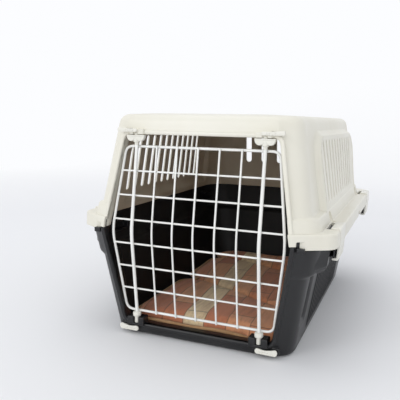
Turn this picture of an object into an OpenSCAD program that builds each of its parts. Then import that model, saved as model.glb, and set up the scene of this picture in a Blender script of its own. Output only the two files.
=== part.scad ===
// Small two-tone travel carrier with a wire door.
// Millimetres. X runs across the door, Y runs from the door to the back, Z is up.
// The origin is on the floor, under the middle of the outline.

/* [Shells] */
// Overall width over the flange
body_w = 330; // [310:1:360]
// Overall length over the flange
body_l = 460; // [440:1:520]
// Overall height to the crown of the roof
body_h = 285; // [270:1:310]
// Height of the top of the flange, where the two shells meet
flange_top = 155.6; // [150:0.2:162]
// Height of the skirt that hangs from the flange
skirt_h = 17.6; // [14:0.2:22]
// Thickness of the plastic walls
wall = 3; // [2.4:0.1:3.6]
// Width of the flange shelf outside the side walls
shelf_w = 24; // [20:0.5:28]
// Draft of the side walls, millimetres drawn in for each millimetre of height
side_draft = 0.16; // [0.12:0.01:0.2]
// Lean of the front, drawn back for each millimetre of height
front_draft = 0.15; // [0.12:0.01:0.17]
// Turn of the front cheeks beside the door, degrees
cheek = 30; // [20:1:36]
// Radius of the front corners
front_r = 22; // [16:1:28]
// Radius of the rear corners
rear_r = 38; // [28:1:46]
// Radius of the roof edge
roof_r = 10; // [6:1:14]
// Radius of the bottom edge
floor_r = 8; // [5:1:12]

/* [Side vents] */
// Number of slots in each side panel
vent_count = 12; // [8:1:13]
// Distance from slot to slot
vent_pitch = 21.8; // [19:0.2:22]
// Width of a slot
vent_w = 8.6; // [6:0.2:11]
// Height of the lower end of the slots above the flange
vent_lift = 22; // [20:1:34]
// How far the arched panel stands out of the side wall
panel_out = 7; // [4:0.5:9]
// Radius of the upper corners of the arched panel
panel_r = 40; // [30:1:50]
// Length of the arched panel behind its last slot
panel_rear = 50; // [30:1:56]

/* [Rear vents] */
// Number of slots in the back wall
rear_vent_count = 5; // [3:1:6]
// Distance from slot to slot
rear_vent_pitch = 30; // [24:1:32]
// Width of a slot
rear_vent_w = 10.6; // [8:0.2:13]
// Height of a slot
rear_vent_h = 53; // [40:1:60]

/* [Door] */
// Height of the header above the door opening
header_h = 26.6; // [25:0.2:30]
// Gap from the header down to the centre of the top wire of the door
door_top_gap = 14.8; // [14:0.2:18]
// Height of the centre of the bottom wire
door_low = 31.8; // [31:0.2:34]
// Half width of the door frame at its top and bottom
door_half = 98; // [96:0.5:99]
// Half width of the door frame at its bend
door_half_mid = 110.9; // [108:0.1:112]
// How far the door bends forward at half its height
door_bend = 14.3; // [12:0.1:15.5]
// Distance between the upright wires
wire_pitch = 27.2; // [26:0.1:27.6]
// Diameter of the thin wires
wire_d = 2.4; // [2:0.1:2.8]
// Diameter of the frame wire
frame_d = 3.4; // [3:0.1:4]
// Diameter of the two latch rods
rod_d = 4.2; // [4:0.1:4.8]
// Number of cross wires
cross_count = 6; // [4:1:7]

/* [Latches] */
// Diameter of the bolt on top of a thumb grip
bolt_d = 5; // [4.6:0.1:5.2]
// Travel of a thumb grip
grip_travel = 3; // [2.6:0.1:3.1]
// Width of the wings of a thumb grip
grip_w = 24; // [20:0.5:24]
// Diameter of the pivot pin under each rod
pivot_d = 6; // [5:0.1:6.4]
// Travel of the slide locks
lock_travel = 8; // [6:0.5:8.5]
// Length of a slide lock
lock_l = 27; // [24:0.5:28]

/* [Shell clips] */
// Width of a clip that holds the shells together
clip_w = 42; // [36:1:46]
// Thickness of a clip
clip_t = 3; // [2.4:0.1:3.4]
// Reach of a clip below the skirt
clip_drop = 15.5; // [14:0.5:19]
// Distance of the front clips from the front of the flange
clip_front = 74; // [72:1:90]
// Distance of the rear clips from the rear of the flange
clip_rear = 58; // [56:1:80]

/* [Handle] */
// Length of the carrying handle
handle_l = 150; // [130:1:170]
// Reach of the handle from its hinge to the middle of its grip
handle_reach = 44; // [40:1:50]
// Width of the grip bar
handle_bar = 17; // [14:0.5:20]
// Thickness of the handle
handle_t = 11; // [9:0.5:12]

/* [Mat] */
// Gap between the mat and the side walls
mat_gap = 4.5; // [3:0.5:14]
// Gap between the mat and the sill, and between the mat and the back wall
mat_end_gap = 4; // [3:0.5:20]
// Thickness of the mat in its middle
mat_t = 17; // [12:0.5:22]

/* [Hidden] */

IVORY = [0.86, 0.84, 0.78];
BLACK = [0.13, 0.13, 0.14];
WHITE = [0.95, 0.95, 0.95];
STEEL = [0.7, 0.7, 0.72];
BROWN = [0.62, 0.42, 0.28];

big = 600;
eps = 0.01;
seat = 0.3;
run = 0.06;

half_w = body_w / 2;
front_y = -body_l / 2;
rear_y = body_l / 2;
flange_t = wall + 0.6;
skirt_low = flange_top - skirt_h;

// The walls are widest at the seam and draw in above and below it.
seam_z = skirt_low;
seam_half = half_w - shelf_w;
face_y = front_y + 3;
back_y = rear_y - shelf_w - 4;
opening_mid = 118;
opening_top = body_h - header_h;
sill_z = 16;
step_z = seam_z - 32;
band_out = 7;

function side_x(z) = seam_half - side_draft * abs(z - seam_z);
function front_at(z) = face_y + front_draft * abs(z - seam_z);
function back_at(z) = back_y - 0.1 * abs(z - seam_z);
function flat_half(z) = opening_mid - 0.16 * abs(z - seam_z);

// Points of an arc about (cx, cy) from angle a0 to a1 in n steps
function arc(cx, cy, r, a0, a1, n) =
    [for (i = [0:n]) let (a = a0 + (a1 - a0) * i / n) [cx + r * cos(a), cy + r * sin(a)]];
function mirrored(pts) = [for (i = [len(pts) - 1:-1:0]) [-pts[i][0], pts[i][1]]];
function at_z(pts, z) = [for (p = pts) [p[0], p[1], z]];

// Plan outline: a flat front of half width fx at yf, two cheeks turned back, and four round corners
function plan(hx, fx, yf, yb, rf, rr) =
    let (px = hx - rf + rf * sin(cheek),
         yc = yf + rf * cos(cheek) + (px - fx) * tan(cheek),
         right = concat([[fx, yf]],
                        arc(hx - rf, yc, rf, cheek - 90, 0, 6),
                        arc(hx - rr, yb - rr, rr, 0, 90, 8)))
    concat(right, mirrored(right));

// Outline of the walls at height z, drawn in by inset, and by its own amount at the front
function ring(z, inset, front_inset = undef) =
    at_z(plan(side_x(z) - inset, flat_half(z) - 2 - 0.4 * inset,
              front_at(z) + (front_inset == undef ? inset : front_inset), back_at(z) - inset,
              max(front_r - 0.5 * inset, 6), max(rear_r - 0.5 * inset, 8)), z);

// The same outline moved to height z, used where an edge rounds over
function ring_at(z, from_z, inset, front_inset = undef) =
    [for (p = ring(from_z, inset, front_inset)) [p[0], p[1], z]];

// Outline of the flange at height z
function flange_ring(z, inset) =
    at_z(plan(half_w - 1 - inset, opening_mid - 1 - 0.4 * inset, front_y + inset,
              rear_y - inset, 20 - 0.5 * inset, 30 - 0.5 * inset), z);

// Closed solid through rings that all have the same number of points
module skin(rings) {
    n = len(rings[0]);
    m = len(rings);
    pts = [for (r = rings) each r];
    sides = [for (k = [0:m - 2], i = [0:n - 1])
                 let (j = (i + 1) % n, a = k * n, b = a + n)
                 each [[a + i, b + i, b + j], [a + i, b + j, a + j]]];
    low = [for (i = [0:n - 1]) i];
    high = [for (i = [n - 1:-1:0]) (m - 1) * n + i];
    polyhedron(pts, concat(sides, [low], [high]));
}

module both_sides() {
    children();
    mirror([1, 0, 0]) children();
}

// Prism along Y whose outline is given in X and Z
module prism_y(pts, y0, y1) {
    translate([0, y1, 0]) rotate([90, 0, 0]) linear_extrude(y1 - y0) polygon(pts);
}

// Prism along X whose outline is given in Y and Z
module prism_x(pts, x0, x1) {
    translate([x0, 0, 0]) rotate([90, 0, 90]) linear_extrude(x1 - x0) polygon(pts);
}

// Upright slot with round ends, centre c, from z0 to z1
function slot(c, w, z0, z1) =
    concat(arc(c, z0 + w / 2, w / 2, 180, 360, 8), arc(c, z1 - w / 2, w / 2, 0, 180, 8));
function rounded(x0, x1, z0, z1, r) =
    concat(arc(x0 + r, z0 + r, r, 180, 270, 4), arc(x1 - r, z0 + r, r, 270, 360, 4),
           arc(x1 - r, z1 - r, r, 0, 90, 4), arc(x0 + r, z1 - r, r, 90, 180, 4));

// Six-sided outline of the door opening, grown by g
function opening(g) =
    let (rl = 12 + g, rt = 8 + g, low = sill_z - g, top = opening_top + g,
         hl = flat_half(sill_z) + g, ht = flat_half(opening_top) + g,
         right = concat(arc(hl - rl, low + rl, rl, 270, 351, 5), [[opening_mid + g, seam_z]],
                        arc(ht - rt, top - rt, rt, 9, 90, 5)))
    concat(right, mirrored(right));

vent_low = flange_top + vent_lift;

// Arched outline of a side panel, and the height of its arch at a place along the side
vent_mid = -16;
panel_half = vent_pitch * (vent_count - 1) / 2 + 15;
panel_y0 = vent_mid - panel_half;
panel_y1 = vent_mid + panel_half - 15 + panel_rear;
panel_top = body_h - 21;
function arch(y) =
    let (over = max(0, panel_y0 + panel_r - y, y - panel_y1 + panel_r))
    panel_top - panel_r + sqrt(max(0, pow(panel_r, 2) - pow(min(over, panel_r), 2)));
function panel_outline() =
    concat([[panel_y0, seam_z], [panel_y1, seam_z]],
           arc(panel_y1 - panel_r, panel_top - panel_r, panel_r, 0, 90, 8),
           arc(panel_y0 + panel_r, panel_top - panel_r, panel_r, 90, 180, 8));

// Heights of the door, and the place of its middle plane at height z
door_top = opening_top - door_top_gap;
door_h = door_top - door_low;
bend_z = door_low + door_h / 2;
door_y0 = front_y + 22.5;
function door_y(z) = door_y0 - door_bend * (1 - abs(z - bend_z) / (door_h / 2));
function door_half_at(z) =
    door_half_mid - (door_half_mid - door_half) * abs(z - bend_z) / (door_h / 2);

// Layers of the door: rods and uprights in front of the cross wires, frame wire at the back
cross_y = 1.8;
rod_y = cross_y - (rod_d + wire_d) / 2;
upright_y = cross_y - wire_d;
frame_y = upright_y + (wire_d + frame_d) / 2;
rod_x = 3 * wire_pitch;
pin_y = door_y0 + rod_y;
row_step = door_h / (cross_count + 1);

// Roof
roof_z = body_h - 2;
recess_l = handle_l + 14;
recess_x0 = -34;
recess_x1 = 44;
recess_d = handle_t + 5;
handle_x = -18;
handle_z = roof_z - handle_t / 2 - 1;
bar_x = handle_x + handle_reach;
handle_pin_d = 5;

// Clips
hinge_x = half_w - clip_t - 3.5;
hinge_z = flange_top - clip_t - 3;
hinge_room = 10.4;
clip_pin_d = 2.4;
pocket_x = half_w - 5.6;
pocket_z = seam_z - clip_drop;
function clip_y(rear) = rear ? rear_y - clip_rear : front_y + clip_front;

module shell_walls(inset, top_inset) {
    z1 = roof_z - roof_r;
    skin(concat([for (z = [flange_top - flange_t - (inset > 0 ? 2 : 0), z1]) ring(z, inset)],
                [for (a = [22.5:22.5:90])
                     ring_at(z1 + (roof_r - top_inset) * sin(a), z1,
                             inset + (roof_r - top_inset) * (1 - cos(a)))],
                [ring_at(body_h - top_inset, z1, inset + 60)]));
}

module clip_gap(rear, side_gap) {
    translate([hinge_x - hinge_room, clip_y(rear) - clip_w / 2 - side_gap, seam_z - 1])
        cube([30, clip_w + 2 * side_gap, skirt_h + 2]);
}

module upper_shell() color(IVORY) {
    difference() {
        union() {
            difference() {
                union() {
                    shell_walls(0, 0);
                    // Plinth that carries the walls on the flange
                    skin([ring(flange_top - flange_t, -9, -1.5), ring(flange_top + 11, -8, -1.5),
                          ring(flange_top + 14, -5.5, -1), ring(flange_top + 15.5, -1, 1)]);
                    // Raised arched panels at both sides
                    intersection() {
                        skin([ring(flange_top, -panel_out), ring(panel_top + 2, -panel_out)]);
                        both_sides() prism_x(panel_outline(), 60, big / 2);
                    }
                    // Flange with its skirt
                    skin([flange_ring(skirt_low, 0), flange_ring(flange_top - 2.5, 0),
                          flange_ring(flange_top - 0.8, 0.8), flange_ring(flange_top, 2.5)]);
                    // Lip round the opening
                    intersection() {
                        skin([ring(seam_z, 1, -2), ring(opening_top + 12, 1, -2)]);
                        prism_y(opening(5), front_y - 5, 0);
                    }
                }
                // Room inside the skirt, then the cabin itself
                skin([flange_ring(skirt_low - 1, wall), flange_ring(flange_top - flange_t, wall)]);
                shell_walls(wall, wall);
            }
            // Jamb that returns inwards round the opening
            intersection() {
                difference() {
                    skin([ring(flange_top - flange_t, 1), ring(opening_top + 8, 1)]);
                    skin([ring(flange_top - 20, 14), ring(opening_top + 12, 14)]);
                }
                difference() {
                    prism_y(opening(2.6), front_y, front_y + 60);
                    prism_y(opening(0), front_y - 1, front_y + 61);
                }
            }
            handle_recess_walls();
            clip_ears();
            header_pads();
        }
        prism_y(opening(0), front_y - 10, front_y + 60);
        vent_cuts();
        handle_recess_cut();
        skirt_notches();
        for (rear = [false, true]) both_sides() {
            clip_gap(rear, seat);
            clip_bore(rear, clip_w + 20, clip_pin_d);
        }
        // Scoops in the shelf beside each clip
        for (y = [clip_y(false) + 28, clip_y(true) - 28])
            both_sides() translate([seam_half + 6, y, flange_top + 6]) sphere(d = 16, $fn = 32);
        lock_slots_top();
        both_sides() bolt_pocket();
    }
}

module vent_cuts() {
    for (i = [0:vent_count - 1]) {
        y = vent_mid + (i - (vent_count - 1) / 2) * vent_pitch;
        prism_x(slot(y, vent_w, vent_low, arch(y) - 10), -half_w, half_w);
    }
    mid = (vent_low + panel_top) / 2 + 4;
    for (i = [0:rear_vent_count - 1]) {
        x = (i - (rear_vent_count - 1) / 2) * rear_vent_pitch;
        prism_y(slot(x, rear_vent_w, mid - rear_vent_h / 2, mid + rear_vent_h / 2), 0, rear_y);
    }
}

// Notches in the skirt where locating tabs of the tub stand
module skirt_notches() {
    both_sides() translate([opening_mid + 6, front_y - 5, skirt_low - 1]) cube([10.5, 40, 10.5]);
    both_sides() translate([half_w - 8, 28, skirt_low - 1]) cube([12, 16, 8]);
}

// Ears that hold the clip pins at both ends of each clip
module clip_ears() {
    for (rear = [false, true], s = [-1, 1])
        both_sides()
            translate([hinge_x - 5, clip_y(rear) + s * (clip_w / 2 + 3.4) - 3, skirt_low + 6])
                cube([8.4, 6, skirt_h - 6 - flange_t + 0.5]);
}

// Pads on the header that the bolts of the thumb grips enter from below
lock_top_z = opening_top + 5.6;
lock_low_z = 9.6;
lock_h = 5.4;
lock_rest_x = rod_x + 6.4;
pad_out = 5;
module header_pads() {
    both_sides() intersection() {
        translate([rod_x - 11, front_y, opening_top - 3]) cube([19, 40, 11]);
        prism_y(opening(3), front_y - 1, front_y + 41);
        skin([ring(opening_top - 4, 0, -pad_out), ring(opening_top + 9, 0, -pad_out)]);
    }
}

bolt_top = opening_top + 2.3;
module bolt_pocket() {
    pocket_w = bolt_d + 1.2;
    pocket_h = bolt_top - opening_top + 1.4;
    translate([rod_x, pin_y, opening_top - 1]) cylinder(d = pocket_w, h = pocket_h, $fn = 48);
    translate([rod_x - pocket_w / 2, pin_y - 20, opening_top - 1]) cube([pocket_w, 20, pocket_h]);
}

// Guide slots in the header behind the upper slide locks
module lock_slots_top() {
    both_sides() translate([lock_rest_x, front_at(lock_top_z) - 9, lock_top_z - 1.6])
        cube([13.4, 18, 3.2]);
}

module handle_recess_walls() {
    translate([recess_x0 - wall, -recess_l / 2 - wall, roof_z - recess_d - wall])
        cube([recess_x1 - recess_x0 + 2 * wall, recess_l + 2 * wall, recess_d + wall - 0.5]);
}

module handle_recess_cut() {
    difference() {
        translate([recess_x0, -recess_l / 2, roof_z - recess_d])
            cube([recess_x1 - recess_x0, recess_l, recess_d + 10]);
        // Bearing blocks for the handle at both ends of the recess
        for (s = [-1, 1])
            translate([handle_x - 7, s * (recess_l / 2 - 3) - 3.1, roof_z - recess_d - 1])
                cube([14, 6.2, recess_d + 0.5]);
    }
    for (s = [-1, 1])
        translate([handle_x, s * (recess_l / 2 - 4), handle_z]) rotate([90, 0, 0])
            cylinder(d = handle_pin_d, h = 12, center = true, $fn = 48);
}

// Lower half
module tub_walls(inset, low) {
    skin(concat([for (a = [0:22.5:90])
                     ring_at(low + floor_r * (1 - cos(a)), floor_r, inset + floor_r * (1 - sin(a)))],
                [ring(seam_z, inset), ring_at(flange_top - flange_t - seat, seam_z, inset)]));
}

module lower_tub() color(BLACK) {
    difference() {
        union() {
            tub_walls(0, 0);
            // Band under the flange, with full corners
            skin([ring(step_z, 0, 1), ring(step_z + 5, -band_out, -1.2),
                  ring(seam_z - 1, -band_out, -1.2), ring(seam_z - 0.5, -band_out, seat + 0.1),
                  ring_at(flange_top - flange_t - seat, seam_z, -band_out, seat + 0.1)]);
            tub_corners();
            // Lip round the opening
            intersection() {
                skin([ring(sill_z, 1, -1.6), ring(seam_z - seat, 1, -1.6)]);
                prism_y(opening(5), front_y - 5, front_y + 60);
            }
            // Rim that lies under the flange
            skin([flange_ring(flange_top - flange_t - seat - 3.4, wall + seat),
                  flange_ring(flange_top - flange_t - seat, wall + seat)]);
            clip_pockets();
            side_ribs();
        }
        tub_inside();
        skirt_room();
        prism_y(opening(0), front_y - 10, front_y + 60);
        // Recesses of the slide locks in the front
        lock_slots_low();
        for (rear = [false, true]) both_sides() clip_rim_gap(rear);
    }
    tub_tabs();
    sill();
    floor_ribs();
}

// Room for the skirt of the upper shell
module skirt_room() {
    difference() {
        skin([flange_ring(seam_z - seat, -4), flange_ring(flange_top, -4)]);
        skin([flange_ring(seam_z - 1, wall + seat), flange_ring(flange_top + 1, wall + seat)]);
    }
}

module tub_inside() {
    skin(concat([for (a = [0:22.5:90])
                     ring_at(wall + 1 + floor_r * (1 - cos(a)), floor_r + wall + 1,
                             wall + floor_r * (1 - sin(a)))],
                [ring(step_z + 1, wall), ring(step_z + 6, wall - band_out, wall),
                 ring(seam_z, wall - band_out, wall),
                 ring_at(flange_top + 5, seam_z, wall - band_out, wall)]));
}

// Full corners of the band, drawn in under the corners of the flange
module tub_corners() {
    intersection() {
        skin([flange_ring(step_z - 1, 22), flange_ring(step_z + 8, 10), flange_ring(seam_z + 8, 7)]);
        both_sides() {
            translate([opening_mid + 2, front_y, 0])
                cube([60, clip_y(false) - clip_w / 2 - 9 - front_y, flange_top]);
            translate([half_w - 60, clip_y(true) + clip_w / 2 + 9, 0])
                cube([60, 60, flange_top]);
        }
    }
}

// Room in the rim for a clip and its ears
module clip_rim_gap(rear) {
    w = clip_w + 2 * (6.4 + 2 * seat + 0.4);
    translate([seam_half + band_out + 0.1, clip_y(rear) - w / 2, seam_z])
        cube([30, w, skirt_h]);
}

// Hollow blocks that the hooks of the clips catch under
module clip_pockets() {
    for (rear = [false, true]) both_sides() difference() {
        prism_y(rounded(seam_half - 12, pocket_x, pocket_z, seam_z, 3),
                clip_y(rear) - clip_w / 2, clip_y(rear) + clip_w / 2);
        prism_y(rounded(seam_half - 20, pocket_x - 2.4, pocket_z + 2.4, seam_z - 2.4, 2),
                clip_y(rear) - clip_w / 2 - 1, clip_y(rear) + clip_w / 2 - 3);
    }
}

// Locating tabs that show through the notches of the skirt
module tub_tabs() {
    both_sides() intersection() {
        translate([opening_mid + 7, front_y - 1, seam_z - 3]) cube([8.4, 30, 5.6]);
        skin([flange_ring(seam_z - 4, 0.5), flange_ring(seam_z + 4, 0.5)]);
    }
}

// Fine upright ribs on the lower sides
rib_count = 14;
rib_pitch = 17;
module side_ribs() {
    intersection() {
        skin([ring(floor_r + 6, -1.6), ring(step_z - 6, -1.6)]);
        union() for (i = [0:rib_count - 1])
            translate([-half_w, vent_mid + (i - (rib_count - 1) / 2) * rib_pitch - 1.5, 0])
                cube([body_w, 3, step_z]);
    }
}

// Sill under the door, with a forked block for each pivot foot
fork_z = 14;
fork_top = 24.6;
sill_back = 38;
module sill() {
    difference() {
        union() {
            intersection() {
                tub_walls(0.02, 0.02);
                translate([-rod_x - 26, front_y, eps]) cube([2 * rod_x + 52, sill_back, fork_z]);
            }
            intersection() {
                skin([ring(8, 4, -5), ring(fork_top + 10, 4, -5)]);
                both_sides() translate([rod_x - 12, front_y, fork_z - 0.2])
                    cube([23, 32, fork_top - fork_z + 0.2]);
            }
        }
        both_sides() fork_slot();
        lock_slots_low();
    }
}

module fork_slot() {
    slot_w = pivot_d + 1.2;
    translate([rod_x, pin_y, fork_z + 2]) cylinder(d = slot_w, h = 20, $fn = 48);
    translate([rod_x - slot_w / 2, pin_y - 30, fork_z + 2]) cube([slot_w, 30, 20]);
}

module lock_slots_low() {
    both_sides() translate([lock_rest_x, front_at(lock_low_z) - 8, lock_low_z - 1.6])
        cube([13.4, 14, 3.2]);
}

floor_rib_pitch = 60;
module floor_ribs() {
    for (i = [-1:1])
        translate([i * floor_rib_pitch - 3, front_y + 80, wall + 0.5]) cube([6, body_l - 160, 1.5]);
}

// Soft mat on the floor: an outline that is drawn in at top and bottom round a full middle
mat_z = wall + 1 + 1.5 + seat;
mat_x = side_x(mat_z) - wall - mat_gap;
mat_y0 = front_y + sill_back + mat_end_gap;
mat_y1 = back_at(mat_z) - wall - mat_end_gap;
function mat_ring(z, inset) =
    at_z(concat(arc(mat_x - 22, mat_y0 + 22, 22 - inset, -90, 0, 6),
                arc(mat_x - 34, mat_y1 - 34, 34 - inset, 0, 90, 6),
                arc(34 - mat_x, mat_y1 - 34, 34 - inset, 90, 180, 6),
                arc(22 - mat_x, mat_y0 + 22, 22 - inset, 180, 270, 6)), z);
module mat() color(BROWN) {
    skin([mat_ring(mat_z, 5), mat_ring(mat_z + 1.5, 1), mat_ring(mat_z + 4, 0),
          mat_ring(mat_z + 7, 1), mat_ring(mat_z + 10.5, 5), mat_ring(mat_z + 14, 14),
          mat_ring(mat_z + mat_t - 1, 20)]);
}

// Round bar from p to q, and a row of bars with a ball at each bend and end
module bar(p, q, d) {
    v = q - p;
    translate(p) rotate([0, acos(v[2] / norm(v)), atan2(v[1], v[0])])
        cylinder(d = d, h = norm(v), $fn = 32);
}
module bars(path, d) {
    for (i = [0:len(path) - 2]) bar(path[i], path[i + 1], d);
    for (p = path) translate(p) sphere(d = 1.035 * d, $fn = 32);
}

// Frame wire: a closed loop with six sides, bent forward at half height, and four round corners
frame_r = 9;
side_lean = atan((door_half_mid - door_half) / (door_h / 2));
function frame_arc(z, a0, a1) =
    arc(door_half + frame_r * (tan(side_lean) - 1 / cos(side_lean)), z, frame_r, a0, a1, 5);
module door_frame() color(WHITE) {
    right = [for (p = concat(frame_arc(door_low + frame_r, 270, 360 - side_lean),
                             [[door_half_mid, bend_z]],
                             frame_arc(door_top - frame_r, side_lean, 90)))
                 [p[0], door_y(p[1]) + frame_y, p[1]]];
    path = concat(right, [for (i = [len(right) - 1:-1:0]) [-right[i][0], right[i][1], right[i][2]]]);
    n = len(path);
    m = 16;
    pts = [for (i = [0:n - 1])
               let (t = path[(i + 1) % n] - path[(i + n - 1) % n], u = t / norm(t),
                    v = [0, 1, 0] - u[1] * u, e = v / norm(v), f = cross(u, e))
               each [for (k = [0:m - 1])
                         let (a = 360 * k / m)
                         path[i] + frame_d / 2 * (cos(a) * e + sin(a) * f)]];
    polyhedron(pts, [for (i = [0:n - 1], k = [0:m - 1])
                         let (a = i * m, b = (i + 1) % n * m, l = (k + 1) % m)
                         each [[a + k, b + l, b + k], [a + k, a + l, b + l]]]);
}

module upright_wires() color(WHITE) {
    for (i = [-2:2]) {
        x = i * wire_pitch;
        bars([[x, door_y(door_low) + upright_y - 0.02, door_low],
              [x, door_y(bend_z) + upright_y - 0.02, bend_z],
              [x, door_y(door_top) + upright_y - 0.02, door_top]], wire_d);
    }
}

module cross_wires() color(WHITE) {
    for (i = [1:cross_count]) {
        z = door_low + i * row_step;
        w = door_half_at(z) - frame_d / 2 - 0.12;
        translate([-w, door_y(z) + cross_y + 0.08, z]) rotate([0, 90, 0])
            cylinder(d = wire_d, h = 2 * w, $fn = 24);
    }
}

// Latch rod: bent like the door, with a thin spigot at each end
spigot_d = 2.8;
spigot_top = opening_top - 1.4;
bush_z = door_top + frame_d / 2 + 0.2;
sleeve_z = bush_z + grip_travel + 0.3;
bush_top = sleeve_z + 1;
module latch_rod(s) color(WHITE) {
    x = s * rod_x;
    y = pin_y - 0.02;
    bars([[x, y, door_low + 0.35], [x, y - door_bend, bend_z], [x, y, door_top]], rod_d);
    translate([x, y, door_top]) cylinder(d = rod_d, h = bush_z - door_top, $fn = 48);
    translate([x, y, door_top]) cylinder(d = spigot_d, h = spigot_top - door_top, $fn = 48);
    translate([x, y, foot_z + 8]) cylinder(d = spigot_d, h = 12, $fn = 48);
}

// Bush pressed on the spigot, the lower seat of the spring
bush_d = 5;
module rod_bush(s) color(IVORY) {
    translate([s * rod_x, pin_y - 0.02, bush_z]) difference() {
        cylinder(d = bush_d, h = bush_top - bush_z, $fn = 48);
        translate([0, 0, -1]) cylinder(d = spigot_d, h = 20, $fn = 48);
    }
}

// Thumb grip: a sleeve with two hanging wings under a flat top, and the bolt above it
wing_top = opening_top - 0.8;
wing_h = 9.6;
module thumb_grip(s) color(IVORY) {
    translate([s * rod_x, pin_y - 0.02, 0]) difference() {
        union() {
            translate([0, 0, sleeve_z]) cylinder(d = 8, h = wing_top - sleeve_z, $fn = 48);
            translate([0, 0, wing_top - 1]) cylinder(d = bolt_d, h = bolt_top - wing_top + 1, $fn = 48);
            translate([-grip_w / 2, -4, wing_top - 1.6]) cube([grip_w, 8, 1.6]);
            for (m = [-1, 1])
                prism_y(arc(m * grip_w / 4, wing_top - 1, grip_w / 4 - 0.2, 180, 360, 10), -3.4, 1.4);
        }
        translate([0, 0, sleeve_z - 1]) cylinder(d = spigot_d + 2 * run, h = 40, $fn = 48);
        translate([0, 0, sleeve_z - 1])
            cylinder(d = bush_d + 2 * run, h = spring_top - sleeve_z + 1 + eps, $fn = 48);
    }
}

// Spring inside the sleeve, one unbroken wire
spring_wire = 0.6;
spring_d = 4;
spring_turns = 2.5;
spring_low = bush_top + eps;
spring_top = wing_top - 1.4;
spring_steps = 8 * spring_turns;
spring_rise = spring_top - spring_low - spring_wire;
function spring_point(i) =
    let (a = 360 * i / 8)
    [spring_d / 2 * cos(a), spring_d / 2 * sin(a),
     spring_low + spring_wire / 2 + spring_rise * i / spring_steps];
spring_points = [for (i = [0:spring_steps]) spring_point(i)];
spring_gap = min([for (i = [0:spring_steps - 6], j = [i + 6:spring_steps])
                      norm(spring_points[i] - spring_points[j])]) - spring_wire;
module grip_spring(s) color(STEEL) {
    echo(least_gap_between_spring_turns = spring_gap);
    n = 6;
    rings = [for (i = [0:spring_steps])
                 let (p = spring_points[i], a = 360 * i / 8)
                 [for (k = [0:n - 1])
                      let (b = 360 * k / n, q = spring_wire / 2 * cos(b))
                      [p[0] + q * cos(a), p[1] + q * sin(a), p[2] + spring_wire / 2 * sin(b)]]];
    translate([s * rod_x, pin_y - 0.02, 0]) mirror([0, 1, 0]) skin(rings);
}

// Pivot foot under each rod: a collar and a pin that stands in the fork of the sill
foot_z = fork_z + 2 + seat;
module pivot_foot(s) color(IVORY) {
    translate([s * rod_x, pin_y - 0.02, 0]) difference() {
        union() {
            translate([0, 0, foot_z]) cylinder(d = pivot_d, h = 12, $fn = 48);
            translate([0, 0, fork_top + 0.4])
                cylinder(d = 10.5, h = door_low - frame_d / 2 - fork_top - 0.6, $fn = 48);
        }
        translate([0, 0, foot_z + 8 - seat]) cylinder(d = spigot_d + 2 * run, h = 20, $fn = 48);
    }
}

// Slide lock: a thin plate on the face with a tongue in the guide slot behind it
module slide_lock(s, z, tall) color(IVORY) {
    y = front_at(z) - (z > seam_z ? pad_out + 2.9 : 3.2);
    mirror([s < 0 ? 1 : 0, 0, 0]) {
        prism_y(rounded(lock_rest_x - 10, lock_rest_x - 10 + lock_l, z - tall / 2, z + tall / 2,
                        tall / 2 - 0.2), y, y + 2.4);
        translate([lock_rest_x + 9, y + 2, z - 1.3]) cube([4, z > seam_z ? 9 : 6, 2.6]);
    }
}

// Clip: a hinged strap with a hook under the pocket and a finger pad over the shelf
module shell_clip(s, rear) color(IVORY) {
    low = pocket_z - seat - clip_t;
    out = half_w - eps;
    profile = [[out - clip_t - 6, low], [out - 2.4, low], [out - 1, low + 1.4],
               [out, skirt_low + 2], [out, flange_top + 0.6], [out - 1.2, flange_top + 1.8],
               [hinge_x - 5, flange_top + 1.8], [hinge_x - 5.6, flange_top + 0.8],
               [hinge_x - 4.8, flange_top - 0.6],
               [out - clip_t - 0.6, flange_top - 1.4], [out - clip_t - 0.2, hinge_z - 3],
               [out - clip_t, skirt_low], [out - clip_t - 1, low + clip_t],
               [out - clip_t - 6, low + clip_t - 0.4]];
    mirror([s < 0 ? 1 : 0, 0, 0]) difference() {
        union() {
            prism_y(profile, clip_y(rear) - clip_w / 2, clip_y(rear) + clip_w / 2);
            translate([hinge_x, clip_y(rear) + clip_w / 2, hinge_z]) rotate([90, 0, 0])
                cylinder(d = 6.4, h = clip_w, $fn = 48);
            translate([hinge_x, clip_y(rear) - clip_w / 2, hinge_z - 2]) cube([5, clip_w, 4]);
        }
        clip_bore(rear, clip_w + 2, clip_pin_d + 2 * run);
    }
}
module clip_bore(rear, len, d) {
    translate([hinge_x, clip_y(rear), hinge_z]) rotate([90, 0, 0])
        cylinder(d = d, h = len, center = true, $fn = 48);
}

module clip_pins() color(STEEL) {
    for (rear = [false, true]) both_sides()
        translate([hinge_x, clip_y(rear), hinge_z]) rotate([90, 0, 0])
            cylinder(d = clip_pin_d, h = clip_w + 12, center = true, $fn = 48);
}

// Carrying handle: a bail that folds flat into the roof
module carry_handle() color(BLACK) {
    leg = 12;
    y1 = handle_l / 2;
    difference() {
        union() {
            for (s = [-1, 1]) {
                translate([handle_x, s * (y1 - leg / 2) - leg / 2, handle_z - handle_t / 2 + 0.5])
                    cube([handle_reach, leg, handle_t - 1]);
                translate([handle_x, s * (y1 - leg / 2), handle_z]) rotate([90, 0, 0])
                    cylinder(d = handle_t, h = leg, center = true, $fn = 48);
            }
            translate([bar_x, 0, handle_z]) rotate([90, 0, 0])
                cylinder(d = handle_t, h = handle_l, center = true, $fn = 48);
            translate([bar_x - handle_bar / 2, -y1, handle_z - handle_t / 2 + 0.5])
                cube([handle_bar, handle_l, handle_t - 1]);
        }
        for (s = [-1, 1])
            translate([handle_x, s * (y1 - leg / 2), handle_z]) rotate([90, 0, 0])
                cylinder(d = handle_pin_d + 2 * run, h = leg + 2, center = true, $fn = 48);
    }
}

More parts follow.
